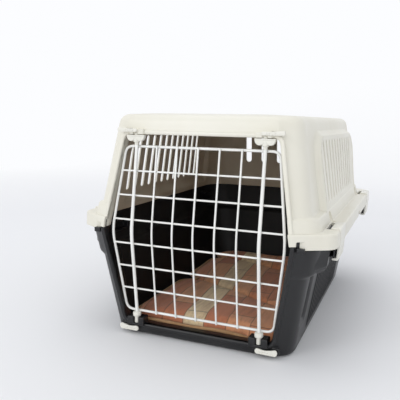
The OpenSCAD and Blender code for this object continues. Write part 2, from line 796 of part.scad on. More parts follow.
module handle_pins() color(STEEL) {
    for (s = [-1, 1])
        translate([handle_x, s * (recess_l / 2 - 9), handle_z]) rotate([90, 0, 0])
            cylinder(d = handle_pin_d, h = 17, center = true, $fn = 48);
}

lower_tub();
upper_shell();
mat();
door_frame();
upright_wires();
cross_wires();
latch_rod(-1);  // latch_rod_left
latch_rod(1);  // latch_rod_right
rod_bush(-1);  // rod_bush_left
rod_bush(1);  // rod_bush_right
thumb_grip(-1);  // thumb_grip_left
thumb_grip(1);  // thumb_grip_right
grip_spring(-1);  // grip_spring_left
grip_spring(1);  // grip_spring_right
pivot_foot(-1);  // pivot_foot_left
pivot_foot(1);  // pivot_foot_right
slide_lock(-1, lock_top_z, lock_h);  // slide_lock_top_left
slide_lock(1, lock_top_z, lock_h);  // slide_lock_top_right
slide_lock(-1, lock_low_z, lock_h + 2);  // slide_lock_low_left
slide_lock(1, lock_low_z, lock_h + 2);  // slide_lock_low_right
shell_clip(-1, false);  // shell_clip_front_left
shell_clip(1, false);  // shell_clip_front_right
shell_clip(-1, true);  // shell_clip_rear_left
shell_clip(1, true);  // shell_clip_rear_right
clip_pins();
carry_handle();
handle_pins();
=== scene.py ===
"""Looks of a small pet travel carrier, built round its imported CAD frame.

Lengths in this file are millimetres in the row frame; MM turns them into metres when a mesh is made.
"""

import math

import bpy
import numpy as np
from mathutils import Matrix, Vector


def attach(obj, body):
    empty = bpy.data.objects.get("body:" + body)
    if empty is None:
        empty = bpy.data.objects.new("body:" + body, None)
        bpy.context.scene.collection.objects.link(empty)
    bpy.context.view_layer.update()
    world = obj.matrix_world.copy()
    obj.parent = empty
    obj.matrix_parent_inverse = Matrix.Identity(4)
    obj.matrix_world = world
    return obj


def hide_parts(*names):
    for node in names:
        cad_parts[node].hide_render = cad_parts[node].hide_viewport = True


MM = 0.001
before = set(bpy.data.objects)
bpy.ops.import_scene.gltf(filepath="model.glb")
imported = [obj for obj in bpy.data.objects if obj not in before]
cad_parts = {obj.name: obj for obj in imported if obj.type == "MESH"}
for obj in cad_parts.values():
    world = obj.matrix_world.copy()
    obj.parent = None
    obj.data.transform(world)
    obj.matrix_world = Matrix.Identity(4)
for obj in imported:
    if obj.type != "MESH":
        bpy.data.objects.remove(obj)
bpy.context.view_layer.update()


# ---------------------------------------------------------------- shape of the shells

# heights of the seam and the flange, half width at the seam, planes of front and back there
SEAM, FLANGE = 138.0, 155.6
SEAM_HALF, FACE, BACK = 141.0, -227.0, 202.0
FLANGE_HALF, FRONT, REAR = 164.0, -230.0, 230.0
OPENING_MID, OPENING_TOP, SILL = 118.0, 258.4, 16.0
CHEEK = math.radians(30)
PANEL_Y0, PANEL_Y1, PANEL_TOP, PANEL_R, PANEL_OUT = -149.5, 153.9, 264.0, 40.0, 6.6
# side slots: middle, number, pitch, width and lowest point; rear slots: number and pitch
VENT_MID, VENTS, VENT_PITCH, VENT_W, VENT_LOW = -16.0, 12, 21.8, 8.6, 177.6
REAR_VENTS, REAR_PITCH = 5, 30.0
SIDES = ((-1, "left"), (1, "right"))
CLIP_Y = (-156.0, 172.0)
# recess in the roof: x from and to, half length, floor
RECESS_X0, RECESS_X1, RECESS_Y, RECESS_Z = -34, 44, 82, 267
LOCK_TOP_Z, LOCK_LOW_Z = 264.0, 9.6
LOCK_X, LOCK_L = 88.0, 27.0
# door: lowest and highest frame wire, height of the bend, plane, how far the bend stands out
DOOR_LOW, DOOR_TOP, BEND_Z, DOOR_Y, DOOR_BEND = 31.8, 243.6, 137.7, -207.5, 14.3
ROD_X, PIN_Y = 81.6, -209.02
FRAME_R, WIRE_R, ROD_R = 1.7, 1.2, 2.1


def side_x(z):
    return SEAM_HALF - 0.16 * np.abs(z - SEAM)


def front_at(z):
    return FACE + 0.15 * np.abs(z - SEAM)


def back_at(z):
    return BACK - 0.1 * np.abs(z - SEAM)


def flat_half(z):
    return OPENING_MID - 0.16 * np.abs(z - SEAM)


def smooth(a, b, x):
    """Smooth step from 0 at a to 1 at b."""
    t = np.clip((x - a) / (b - a), 0, 1)
    return t * t * (3 - 2 * t)


def outline(hx, fx, yf, yb, rf, rr, side_y, n=(14, 8, 12, 10, 5, 16, 16)):
    """Closed plan outline per row: a flat front of half width fx at yf, cheeks turned back by CHEEK,
    four round corners and a straight back. Inputs are (rows, 1); side_y are fixed places along the side."""
    hx, fx, yf, yb, rf, rr = np.broadcast_arrays(*[np.asarray(v, float) for v in (hx, fx, yf, yb, rf, rr)])
    px = hx - rf + rf * math.sin(CHEEK)
    fx = np.minimum(fx, px - 2)
    yc = yf + rf * math.cos(CHEEK) + (px - fx) * math.tan(CHEEK)

    def t(k, last=False):
        return np.linspace(0, 1, k, endpoint=last)[None, :]

    def line(x0, y0, x1, y1, k):
        return x0 + (x1 - x0) * t(k), y0 + (y1 - y0) * t(k)

    def arc(cx, cy, r, a0, a1, k):
        a = a0 + (a1 - a0) * t(k)
        return cx + r * np.cos(a), cy + r * np.sin(a)

    share = (side_y - side_y[0])[None, :] / (side_y[-1] - side_y[0])
    y0, y1 = np.maximum(side_y[0], yc + 1.5), np.minimum(side_y[-1], yb - rr - 1.5)
    along = y0 + (y1 - y0) * share
    parts = [line(0 * fx, yf, fx, yf, n[0]),
             line(fx, yf, px, yc - rf * math.cos(CHEEK), n[1]),
             arc(hx - rf, yc, rf, CHEEK - math.pi / 2, 0, n[2]),
             line(hx, yc, hx, y0, n[3]),
             (hx + 0 * along[:, :-1], along[:, :-1]),
             line(hx, y1, hx, yb - rr, n[4]),
             arc(hx - rr, yb - rr, rr, 0, math.pi / 2, n[5]),
             line(hx - rr, yb, 0 * hx, yb, n[6])]
    x = np.concatenate([p[0] for p in parts], 1)
    y = np.concatenate([p[1] for p in parts], 1)
    x = np.concatenate([x, 0 * hx, -x[:, :0:-1]], 1)
    y = np.concatenate([y, yb, y[:, :0:-1]], 1)
    return np.stack([x, y], -1)


def wall_ring(z, grow, front_grow, side_y):
    """Plan outline of the walls at heights z, grown outwards by grow, and by front_grow at the front."""
    z, g, f = z[:, None], grow[:, None], front_grow[:, None]
    return outline(side_x(z) + g, flat_half(z) - 2 + 0.4 * g, front_at(z) - f, back_at(z) + g,
                   np.maximum(22 + 0.5 * g, 6), np.maximum(38 + 0.5 * g, 8), side_y)


def flange_ring(inset, side_y):
    """Plan outline of the flange, drawn in by inset."""
    i = inset[:, None]
    return outline(FLANGE_HALF - i, 117 - 0.4 * i, FRONT + i, REAR - i, 20 - 0.5 * i, 30 - 0.5 * i, side_y)


def rounded_path(corners, step=1.0):
    """Rows of values along a polyline given as (values..., radius): each corner is rounded by a quadratic
    curve p = (1-t)^2 a + 2t(1-t) c + t^2 b that starts and ends the radius away from it."""
    c = np.array([k[:-1] for k in corners], float)
    r = np.array([k[-1] for k in corners], float)
    out = [c[0]]
    for i in range(1, len(c) - 1):
        before, after = c[i - 1] - c[i], c[i + 1] - c[i]
        lb, la = np.linalg.norm(before), np.linalg.norm(after)
        ra, rb = min(r[i], 0.48 * la), min(r[i], 0.48 * lb)
        if r[i] <= 0:
            out.append(c[i])
            continue
        a, b = c[i] + before * rb / lb, c[i] + after * ra / la
        k = max(3, int(math.ceil((ra + rb) / step)))
        for t in np.linspace(0, 1, k):
            out.append((1 - t) ** 2 * a + 2 * t * (1 - t) * c[i] + t * t * b)
    out.append(c[-1])
    return np.array(out)


def densify(rows, step):
    """Adds rows between neighbours whose first value differs by more than step."""
    out = [rows[:1]]
    for a, b in zip(rows[:-1], rows[1:]):
        k = max(1, int(math.ceil(abs(b[0] - a[0]) / step)))
        t = np.linspace(0, 1, k + 1)[1:, None]
        out.append(a + (b - a) * t)
    return np.concatenate(out)


# ---------------------------------------------------------------- mesh helpers


def new_object(name, co, faces):
    """Object from vertices in millimetres and a list of face index arrays, each (faces, corners)."""
    me = bpy.data.meshes.new(name)
    co = np.asarray(co, float) * MM
    me.vertices.add(len(co))
    me.vertices.foreach_set("co", co.astype(np.float32).ravel())
    faces = [np.asarray(f) for f in faces if len(f)]
    loops = np.concatenate([f.ravel() for f in faces]).astype(np.int32)
    counts = np.concatenate([np.full(len(f), f.shape[1]) for f in faces])
    me.loops.add(len(loops))
    me.loops.foreach_set("vertex_index", loops)
    me.polygons.add(len(counts))
    me.polygons.foreach_set("loop_start", np.concatenate([[0], np.cumsum(counts)[:-1]]).astype(np.int32))
    me.polygons.foreach_set("loop_total", counts.astype(np.int32))
    me.update(calc_edges=True)
    me.validate()
    me.polygons.foreach_set("use_smooth", np.ones(len(counts), bool))
    ob = bpy.data.objects.new(name, me)
    bpy.context.scene.collection.objects.link(ob)
    return ob


def grid_faces(rows, cols, close_u=True, close_v=False):
    """Quads of a grid of rows by cols points; close_u joins its last and first column, close_v its rows."""
    i = np.arange(rows if close_v else rows - 1)[:, None]
    j = np.arange(cols if close_u else cols - 1)[None, :]
    a = i * cols + j
    b = i * cols + (j + 1) % cols
    c = (i + 1) % rows * cols + (j + 1) % cols
    d = (i + 1) % rows * cols + j
    return np.stack([a, b, c, d], -1).reshape(-1, 4)


def lofted(name, pts, inner_from=None):
    """Closed skin through rings pts (rows, cols, 3), with a flat cap on the first and last ring. Faces from
    ring inner_from on belong to the piece's second material."""
    rows, cols = pts.shape[:2]
    first, last = np.arange(cols)[::-1][None, :], np.arange((rows - 1) * cols, rows * cols)[None, :]
    ob = new_object(name, pts.reshape(-1, 3), [grid_faces(rows, cols), first, last])
    if inner_from:
        which = np.zeros(len(ob.data.polygons), np.int32)
        which[inner_from * cols:(rows - 1) * cols] = 1
        which[-1] = 1
        for k in ("outside", "inside"):
            ob.data.materials.append(bpy.data.materials.new(k))
        ob.data.polygons.foreach_set("material_index", which)
    fix_normals(ob)
    return ob


def prism(name, pts2, axis, a, b):
    """Prism of a closed outline pts2 (n, 2), pushed along axis x, y or z from a to b."""
    p = np.asarray(pts2, float)
    n = len(p)
    order = {"x": (2, 0, 1), "y": (0, 2, 1), "z": (0, 1, 2)}[axis]
    rows = [np.column_stack([p, np.full(n, v)])[:, order] for v in (a, b)]
    return lofted(name, np.array(rows))


def join(name, objs):
    """One object out of several."""
    with bpy.context.temp_override(active_object=objs[0], selected_editable_objects=objs, object=objs[0]):
        bpy.ops.object.join()
    objs[0].name = name
    objs[0].data.name = name
    return objs[0]


def fix_normals(ob):
    """Turns every closed part of ob outwards."""
    import bmesh
    bm = bmesh.new()
    bm.from_mesh(ob.data)
    bmesh.ops.recalc_face_normals(bm, faces=bm.faces)
    bm.to_mesh(ob.data)
    bm.free()


def apply_modifiers(ob):
    """Replaces ob's mesh by what its modifiers make of it."""
    bpy.context.view_layer.update()
    graph = bpy.context.evaluated_depsgraph_get()
    me = bpy.data.meshes.new_from_object(ob.evaluated_get(graph))
    old = ob.data
    ob.modifiers.clear()
    ob.data = me
    me.name = ob.name
    bpy.data.meshes.remove(old)


def shade(ob, angle):
    """Smooth shading with edges sharp from angle degrees on."""
    ob.data.polygons.foreach_set("use_smooth", np.ones(len(ob.data.polygons), bool))
    ob.data.set_sharp_from_angle(angle=math.radians(angle))


def points_of(ob):
    """Points of ob as rows of metres."""
    co = np.empty(len(ob.data.vertices) * 3, np.float32)
    ob.data.vertices.foreach_get("co", co)
    return co.reshape(-1, 3)


def cut(ob, cutters):
    """Takes the closed cutters, which don't touch one another, out of ob."""
    for c in cutters:
        fix_normals(c)
    tool = join("cutter", cutters) if len(cutters) > 1 else cutters[0]
    m = ob.modifiers.new("cut", "BOOLEAN")
    m.operation = "DIFFERENCE"
    m.solver = "MANIFOLD"
    m.object = tool
    apply_modifiers(ob)
    bpy.data.objects.remove(tool)
    shade(ob, 32)


def tangents(p, closed=False):
    """Unit tangents of the line p, and of a closed one all round."""
    t = np.roll(p, -1, 0) - np.roll(p, 1, 0) if closed else np.gradient(p, axis=0)
    return t / np.linalg.norm(t, axis=1)[:, None]


def tube(name, path, radius, closed=False, sides=16, up=(0, 1, 0)):
    """Round tube along path (n, 3), with half-ball ends: ring k = p + r (cos a * e + sin a * f)."""
    p = np.asarray(path, float)
    r = np.full(len(p), float(radius))
    if not closed:
        t0 = (p[0] - p[1]) / np.linalg.norm(p[0] - p[1])
        t1 = (p[-1] - p[-2]) / np.linalg.norm(p[-1] - p[-2])
        s = np.linspace(0.03, 1, 5)
        ball = np.sqrt(1 - (1 - s) ** 2)
        head = p[0] + t0 * ((1 - s) * r[0])[:, None]
        tail = p[-1] + t1 * ((1 - s[::-1]) * r[-1])[:, None]
        p = np.concatenate([head[:-1], p, tail[1:]])
        r = np.concatenate([ball[:-1] * r[0], r, ball[::-1][1:] * r[-1]])
    t = tangents(p, closed)
    e = np.array(up, float) - (t @ np.array(up, float))[:, None] * t
    e /= np.linalg.norm(e, axis=1)[:, None]
    f = np.cross(t, e)
    a = np.linspace(0, 2 * math.pi, sides, endpoint=False)
    ring = np.cos(a)[None, :, None] * e[:, None] + np.sin(a)[None, :, None] * f[:, None]
    pts = p[:, None] + r[:, None, None] * ring
    if not closed:
        return lofted(name, pts)
    ob = new_object(name, pts.reshape(-1, 3), [grid_faces(len(p), sides, close_v=True)])
    fix_normals(ob)
    return ob


def bent(points, radius, step=0.6):
    """Path through points with each corner rounded."""
    rows = [tuple(p) + (radius,) for p in points]
    return rounded_path(rows, step)


def ball(name, centre, r, rows=13, cols=24):
    """Sphere: x = r sin(t) cos(a), y = r sin(t) sin(a), z = -r cos(t) about its centre."""
    t = np.linspace(0.04, math.pi - 0.04, rows)[:, None]
    a = np.linspace(0, 2 * math.pi, cols, endpoint=False)[None, :]
    pts = np.stack([r * np.sin(t) * np.cos(a), r * np.sin(t) * np.sin(a), -r * np.cos(t) + 0 * a], -1)
    return lofted(name, pts + np.array(centre))


def capsule(c, w, z0, z1, n=12):
    """Outline of an upright slot with round ends."""
    a = np.linspace(math.pi, 2 * math.pi, n)
    b = np.linspace(0, math.pi, n)
    r = w / 2
    return np.concatenate([np.column_stack([c + r * np.cos(a), z0 + r + r * np.sin(a)]),
                           np.column_stack([c + r * np.cos(b), z1 - r + r * np.sin(b)])])


def rounded_rect(x0, x1, z0, z1, r, n=6):
    """Outline of a rectangle with round corners."""
    q = []
    corners = ((x1 - r, z1 - r, 0), (x0 + r, z1 - r, 90), (x0 + r, z0 + r, 180), (x1 - r, z0 + r, 270))
    for cx, cz, a in corners:
        t = np.radians(np.linspace(a, a + 90, n))
        q.append(np.column_stack([cx + r * np.cos(t), cz + r * np.sin(t)]))
    return np.concatenate(q)


def box_mesh(name, lo, hi, bevel=0.0, segments=3):
    """Box with round edges."""
    lo, hi = np.array(lo, float), np.array(hi, float)
    k = np.array([[x, y, z] for z in (0, 1) for y in (0, 1) for x in (0, 1)], float)
    f = np.array([[0, 2, 3, 1], [4, 5, 7, 6], [0, 1, 5, 4], [2, 6, 7, 3], [0, 4, 6, 2], [1, 3, 7, 5]])
    ob = new_object(name, lo + k * (hi - lo), [f])
    fix_normals(ob)
    if bevel:
        soften(ob, bevel, segments)
    return ob


def even_shading(ob):
    """Normals weighted by face area, so that long thin faces beside a cut don't dent the shading."""
    m = ob.modifiers.new("even", "WEIGHTED_NORMAL")
    m.keep_sharp = True
    m.weight = 80
    apply_modifiers(ob)


def soften(ob, width, segments=3, angle=30):
    """Rounds the sharp edges of ob by width."""
    m = ob.modifiers.new("bevel", "BEVEL")
    m.width = width * MM
    m.segments = segments
    m.limit_method = "ANGLE"
    m.angle_limit = math.radians(angle)
    m.use_clamp_overlap = True
    m.harden_normals = False
    apply_modifiers(ob)
    shade(ob, 50)


def opening_outline(n=9):
    """Six-sided outline of the door opening in x and z, with its corners rounded."""
    rl, rt = 12, 8
    hl, ht = flat_half(SILL), flat_half(OPENING_TOP)
    low, top = SILL, OPENING_TOP
    lean = math.radians(9)
    a = np.linspace(-math.pi / 2, -lean, n)
    b = np.linspace(lean, math.pi / 2, n)
    lower = np.column_stack([hl - rl + rl * np.cos(a), low + rl + rl * np.sin(a)])
    upper = np.column_stack([ht - rt + rt * np.cos(b), top - rt + rt * np.sin(b)])
    s = np.linspace(-1, 1, 7)[:, None]
    knee = np.column_stack([OPENING_MID - 0.16 * 6 * np.abs(s[:, 0]) ** 1.6, SEAM + 6 * s[:, 0]])
    right = np.concatenate([lower, knee, upper])
    return np.concatenate([right, np.column_stack([-right[::-1, 0], right[::-1, 1]])])


# ---------------------------------------------------------------- upper shell

# places of the columns along the side, closer together at the panel's two edges
SIDE_Y = np.concatenate([np.arange(-156.0, -140, 1.3), np.arange(-140.0, 134, 2.9),
                         np.arange(134.0, 160, 1.6)])


def rear_lean(y, z):
    """How far the sides of the shell stand out towards the back, because they lean in less there."""
    return 4.6 * smooth(-160, 150, y) * smooth(168, 262, z)


def panel_distance(y, z):
    """Signed distance to the arched outline of a side panel, negative inside."""
    qy = np.abs(y - (PANEL_Y0 + PANEL_Y1) / 2) - ((PANEL_Y1 - PANEL_Y0) / 2 - PANEL_R)
    qz = z - (PANEL_TOP - PANEL_R)
    return np.hypot(np.maximum(qy, 0), np.maximum(qz, 0)) + np.minimum(np.maximum(qy, qz), 0) - PANEL_R


def panel_growth(y, z, out=PANEL_OUT):
    """How far the arched panel stands out: a soft step at its edge with a low rim behind it."""
    d = panel_distance(y, z)
    return out * smooth(2.0, -4.0, d) + 1.2 * np.exp(-((d + 5.5) / 2.6) ** 2) * smooth(0, 4, z - FLANGE - 12)


def upper_shell():
    """One skin from the crown of the roof down the outside, round the flange, and up the inside."""
    # columns: z, grow, front grow, weight of the flange outline, flange inset, corner radius
    crown = [(285 - 2 * ((i - 60) / 50) ** 2, -i, -i, 0, 0, 0) for i in (60, 50, 40, 30, 22, 15)]
    corners = crown + [(283.2, -9, -9, 0, 0, 0)]
    a = np.radians([70, 56, 42, 28, 14, 0])
    for v in a:
        back = -10 * (1 - math.cos(v))
        corners.append((273 + 10.2 * math.sin(v), back, back, 0, 0, 0))
    corners += [(171.8, 0, 0, 0, 0, 1.6), (169.8, 7.2, 1.2, 0, 0, 1.6), (155.9, 9.0, 1.6, 0, 0, 1.8)]
    outer = rounded_path(corners, 0.7)
    n = 6
    edge = np.radians(np.linspace(90, 0, n))
    rim = np.array([(153.6 + 2 * math.sin(v), 9.4, 1.6, 1, 2 * (1 - math.cos(v)), 0) for v in edge])[:, :5]
    shelf = np.array([(155.6, 9.4, 1.6, w, 2.0 * w, 0) for w in np.linspace(0.04, 1, 9)])[:-1, :5]
    skirt = rounded_path([(153.0, 9.4, 1.6, 1, -0.1, 0), (138.0, 9.4, 1.6, 1, -0.7, 0.8),
                          (138.0, 9.4, 1.6, 1, 2.5, 0.8), (151.9, 9.4, 1.6, 1, 3.2, 1.2),
                          (151.9, 9.4, 1.6, 1, 5.0, 0)], 0.6)
    under = np.array([(151.9, g, -3.0, w, 3.2) for g, w in ((4.0, 0.5), (-3.0, 0.0))])
    inner = np.array([(z, -3.0, -3.0, 0, 0) for z in (153.0, 270.0)])
    ceil = np.array([(270 + 10 * math.sin(v), -3 - 8 * (1 - math.cos(v)), -3 - 8 * (1 - math.cos(v)), 0, 0)
                     for v in np.radians([25, 50, 75, 90])])
    top = np.array([(281.0, -30.0, -30.0, 0, 0), (282.0, -58.0, -58.0, 0, 0)])
    rows = np.concatenate([densify(outer, 3.4), shelf, rim, skirt, under, densify(inner, 3.4), ceil, top])
    z, grow, front, w, fi = rows.T
    wall = wall_ring(np.maximum(z, FLANGE - 4), grow, front, SIDE_Y)
    flange = flange_ring(fi, SIDE_Y)
    xy = wall + (flange - wall) * w[:, None, None]
    pts = np.concatenate([xy, np.broadcast_to(z[:, None, None], xy.shape[:2] + (1,))], -1)
    # the arched panels: outside rows stand out, inside rows follow a little less
    is_wall = (w == 0) & (z < 272)
    outside = is_wall & (grow > -1) & (z > 169)
    inside = is_wall & (grow < -2.9) & (z > 153)
    side = smooth(0.86, 0.99, np.abs(pts[..., 0]) / side_x(z)[:, None]) * np.sign(pts[..., 0])
    g = panel_growth(pts[..., 1], z[:, None])
    have = np.maximum(grow, 0)[:, None]
    pts[..., 0] += np.where(outside[:, None], side * np.maximum(g - have, 0), 0)
    gi = panel_growth(pts[..., 1], z[:, None], out=7.2) * smooth(158, 172, z)[:, None]
    pts[..., 0] += np.where(inside[:, None], side * gi, 0)
    pts[..., 0] += rear_lean(pts[..., 1], z[:, None]) * np.clip(pts[..., 0] / 100.0, -1, 1)
    ob = lofted("upper_shell_skin", pts, inner_from=int(np.argmax(inside)) - 3)
    cut(ob, [prism("door_cut", opening_outline(), "y", -260, -160)])
    cut(ob, shell_cutters())
    cut(ob, [lock_slot(s, LOCK_TOP_Z) for s in (-1, 1)])
    even_shading(ob)
    return ob


def flared_slot(y, z0, z1, w, sign, depth=26.0):
    """Cutter for one side slot: its edges are rounded where it leaves the outer face of the panel.
    Ring k is the capsule grown by r - sqrt(r^2 - (r - d)^2) at depth d under the face."""
    r = 1.1
    d = np.array([-6.0, 0.0, 0.14, 0.35, 0.65, 1.1, depth])
    arc = r - np.sqrt(np.maximum(r * r - (r - np.clip(d, 0, r)) ** 2, 0))
    grow = np.where(d < 0, r, np.where(d < r, arc, 0))
    rings = []
    for dk, gk in zip(d, grow):
        c = capsule(y, w + 2 * gk, z0 - gk, z1 + gk, 9)
        face = side_x(c[:, 1]) + rear_lean(c[:, 0], c[:, 1]) + panel_growth(c[:, 0], c[:, 1])
        rings.append(np.column_stack([sign * (face - dk), c]))
    return lofted("slot", np.array(rings))


def arch_height(y):
    """Height of the side panel's arch at y."""
    over = np.clip(max(PANEL_Y0 + PANEL_R - y, y - PANEL_Y1 + PANEL_R), 0, PANEL_R)
    return PANEL_TOP - PANEL_R + math.sqrt(PANEL_R ** 2 - over ** 2)


def lock_slot(s, z):
    """Cutter for the guide slot behind a slide lock."""
    x0, x1 = sorted((s * 87.6, s * 102.4))
    y = float(front_at(z))
    return box_mesh("lock_slot", (x0, y - 12, z - 1.6), (x1, y + 9, z + 1.6), 0)


def shell_cutters():
    """Everything that is cut out of the upper shell."""
    out = []
    for i in range(VENTS):
        y = VENT_MID + (i - (VENTS - 1) / 2) * VENT_PITCH
        for s in (-1, 1):
            out.append(flared_slot(y, VENT_LOW, arch_height(y) - 10, VENT_W, s))
    for i in range(REAR_VENTS):
        x = (i - (REAR_VENTS - 1) / 2) * REAR_PITCH
        out.append(prism("rear", capsule(x, 10.6, 198.5, 251.5), "y", 150, 240))
    for s in (-1, 1):
        line = np.array([(112, 120), (134.5, 120), (134.5, 146.4), (133.9, 147.3), (133, 147.6),
                         (125.5, 147.6), (124.6, 147.3), (124, 146.4), (124, 142.4), (112, 142.4)])
        line[:, 0] *= s
        out.append(prism("notch", line, "y", -240, -221.5))
        x0, x1 = sorted((s * 158, s * 172))
        out.append(box_mesh("side_notch", (x0, 28, 130), (x1, 44, 145)))
        for y in CLIP_Y:
            x0, x1 = sorted((s * 148.1, s * 175))
            out.append(box_mesh("clip_gap", (x0, y - 21.3, 130), (x1, y + 21.3, 160)))
        for y in (-128.0, 144.0):
            out.append(ball("scoop", (s * 147.0, y, 161.6), 8.0))
    out.append(prism("recess", rounded_rect(RECESS_X0, RECESS_X1, -RECESS_Y, RECESS_Y, 5), "z", 262, 300))
    return out


def sweep_along(name, p, profile):
    """Sweeps profile (u across the edge outwards, v depth to the back) along the line p (n, 2) in x and z.
    Point = line + u * normal in x and z, and y = front_at(z) + v."""
    t = tangents(p)
    nrm = np.column_stack([t[:, 1], -t[:, 0]])
    centre = np.array([0.0, 137.0])
    nrm *= np.sign(((p - centre) * nrm).sum(1))[:, None]
    u, v = np.asarray(profile, float).T
    x = p[:, 0, None] + nrm[:, 0, None] * u
    z = p[:, 1, None] + nrm[:, 1, None] * u
    y = front_at(p[:, 1])[:, None] + v
    pts = np.stack([x, y, z], -1)
    ob = lofted(name, pts)
    shade(ob, 50)
    return ob


def bead_profile(out=5.0, rise=2.0, jamb=13.0, t=2.4):
    """Closed profile of the lip: a round bead that stands rise in front of the face, and a jamb behind."""
    a = np.radians(np.linspace(0, 180, 13))
    r = out / 2
    bead = np.column_stack([r + r * np.cos(a), -rise * np.sin(a) ** 0.8])
    return np.concatenate([[(out, 1.5)], bead, [(0.0, jamb - 0.6), (0.6, jamb), (t, jamb), (t, 1.5)]])


def even_loop(line, n=None, step=2.0):
    """n points, or one every step, evenly spaced round the closed line."""
    loop = np.concatenate([line, line[:1]])
    s = np.concatenate([[0], np.cumsum(np.linalg.norm(np.diff(loop, axis=0), axis=1))])
    t = np.linspace(0, s[-1], n or int(s[-1] / step), endpoint=False)
    return np.column_stack([np.interp(t, s, loop[:, k]) for k in (0, 1)])


def opening_part(z0, z1):
    """The stretch of the opening's edge between two heights, as one open line."""
    fine = even_loop(opening_outline(15))
    keep = (fine[:, 1] >= z0) & (fine[:, 1] <= z1)
    start = int(np.argmax(keep & ~np.roll(keep, 1)))
    fine, keep = np.roll(fine, -start, 0), np.roll(keep, -start)
    return fine[: int(np.argmin(keep))] if not keep.all() else fine


# ---------------------------------------------------------------- lower tub


RIB_Y = -16 + (np.arange(14) - 6.5) * 17.0


def tub_side_y():
    """Places along the side, close together at the flanks of every rib."""
    rib = np.concatenate([RIB_Y + d for d in (-2.6, -1.9, -1.2, 0.0, 1.2, 1.9, 2.6)])
    more = np.concatenate([RIB_Y + 8.5, np.arange(-166.0, -140, 2.0), [115.0, 125.0, 140.0]])
    y = np.unique(np.round(np.concatenate([rib, more]), 3))
    return y[(y >= -166) & (y <= 140)]


def lower_tub():
    """One skin from the middle of the base up the outside to the rim, and down the inside to the floor."""
    side_y = tub_side_y()
    a = np.radians(np.linspace(0, 90, 8))
    foot = [(8 * (1 - math.cos(v)), -8 * (1 - math.sin(v)), -8 * (1 - math.sin(v)), 0, 0, 0) for v in a]
    rows = [(0.0, -60, -60, 0, 0, 0), (0.0, -30, -30, 0, 0, 0)] + foot
    rows += [(101.5, 0, 0, 0, 0, 1.5), (106.5, 6.6, 1.0, 0, 0, 2.2), (136.8, 7.0, 1.2, 0, 0, 0.6),
             (137.3, 7.0, -0.6, 0, 0, 0), (151.6, 7.0, -0.6, 0, 0, 0.8), (151.6, 4.4, -3.0, 0, 0, 0.8),
             (108.0, 4.0, -3.0, 0, 0, 2.5), (103.0, -3.0, -3.0, 0, 0, 1.5)]
    rows += [(4 + 8 * (1 - math.cos(v)), -3 - 8 * (1 - math.sin(v)), -3 - 8 * (1 - math.sin(v)), 0, 0, 0)
             for v in a[::-1][:-1]]
    rows += [(4.0, -30, -30, 0, 0, 0), (4.0, -60, -60, 0, 0, 0)]
    path = densify(rounded_path(rows, 0.8), 3.6)
    z, grow, front, _, _ = path.T
    xy = wall_ring(np.clip(z, 8, 138), grow, front, side_y)
    inner = np.arange(len(z)) > np.argmax(z)
    corner = flange_ring(np.interp(z, [100, 107, 114, 150], [24, 15, 11, 7.0]), side_y)
    x, y = np.abs(xy[..., 0]), xy[..., 1]
    w = np.maximum(smooth(-177, -185, y) * smooth(119, 131, x), smooth(201, 209, y) * smooth(105, 120, x))
    w = w * smooth(101, 106, z)[:, None] * (~inner)[:, None]
    grown = xy + (corner - xy) * w[..., None]
    bigger = np.abs(grown[..., 0]) + np.abs(grown[..., 1]) > np.abs(xy[..., 0]) + np.abs(xy[..., 1])
    xy = np.where(bigger[..., None], grown, xy)
    pts = np.concatenate([xy, np.broadcast_to(z[:, None, None], xy.shape[:2] + (1,))], -1)
    # fine upright ribs on the sides, and a shallow panel in front of them
    share = np.abs(pts[..., 0]) / (side_x(np.clip(z, 8, 138))[:, None])
    side = smooth(0.9, 0.995, share) * np.sign(pts[..., 0])
    out_low = (~inner & (z > 8) & (z < 101))[:, None]
    near = np.abs(pts[..., 1, None] - RIB_Y).min(-1)
    rib = 1.6 * smooth(2.2, 0.9, near) * smooth(12, 20, z)[:, None] * smooth(99, 92, z)[:, None]
    pts[..., 0] += np.where(out_low, side * rib, 0)
    # recess behind each front corner: steep in front, slanted at the top, with a wide bevel at the back
    y = pts[..., 1]
    zz = z[:, None]
    dent = smooth(-190, -186, y) * smooth(-158, -168, y) * smooth(38, 44, zz)
    dent = dent * smooth(4, 0, zz - 98 - 0.35 * (y + 186))
    shift = np.where(~inner[:, None] & (zz > 30) & (zz < 110), 4.2 * dent, 0)
    pts[..., 0] -= np.sign(pts[..., 0]) * shift * smooth(100, 112, np.abs(pts[..., 0]))
    ob = lofted("lower_tub_skin", pts, inner_from=int(np.argmax(z)))
    cut(ob, [prism("door_cut", opening_outline(), "y", -260, -160)])
    cut(ob, [lock_slot(s, LOCK_LOW_Z) for s in (-1, 1)])
    even_shading(ob)
    return ob


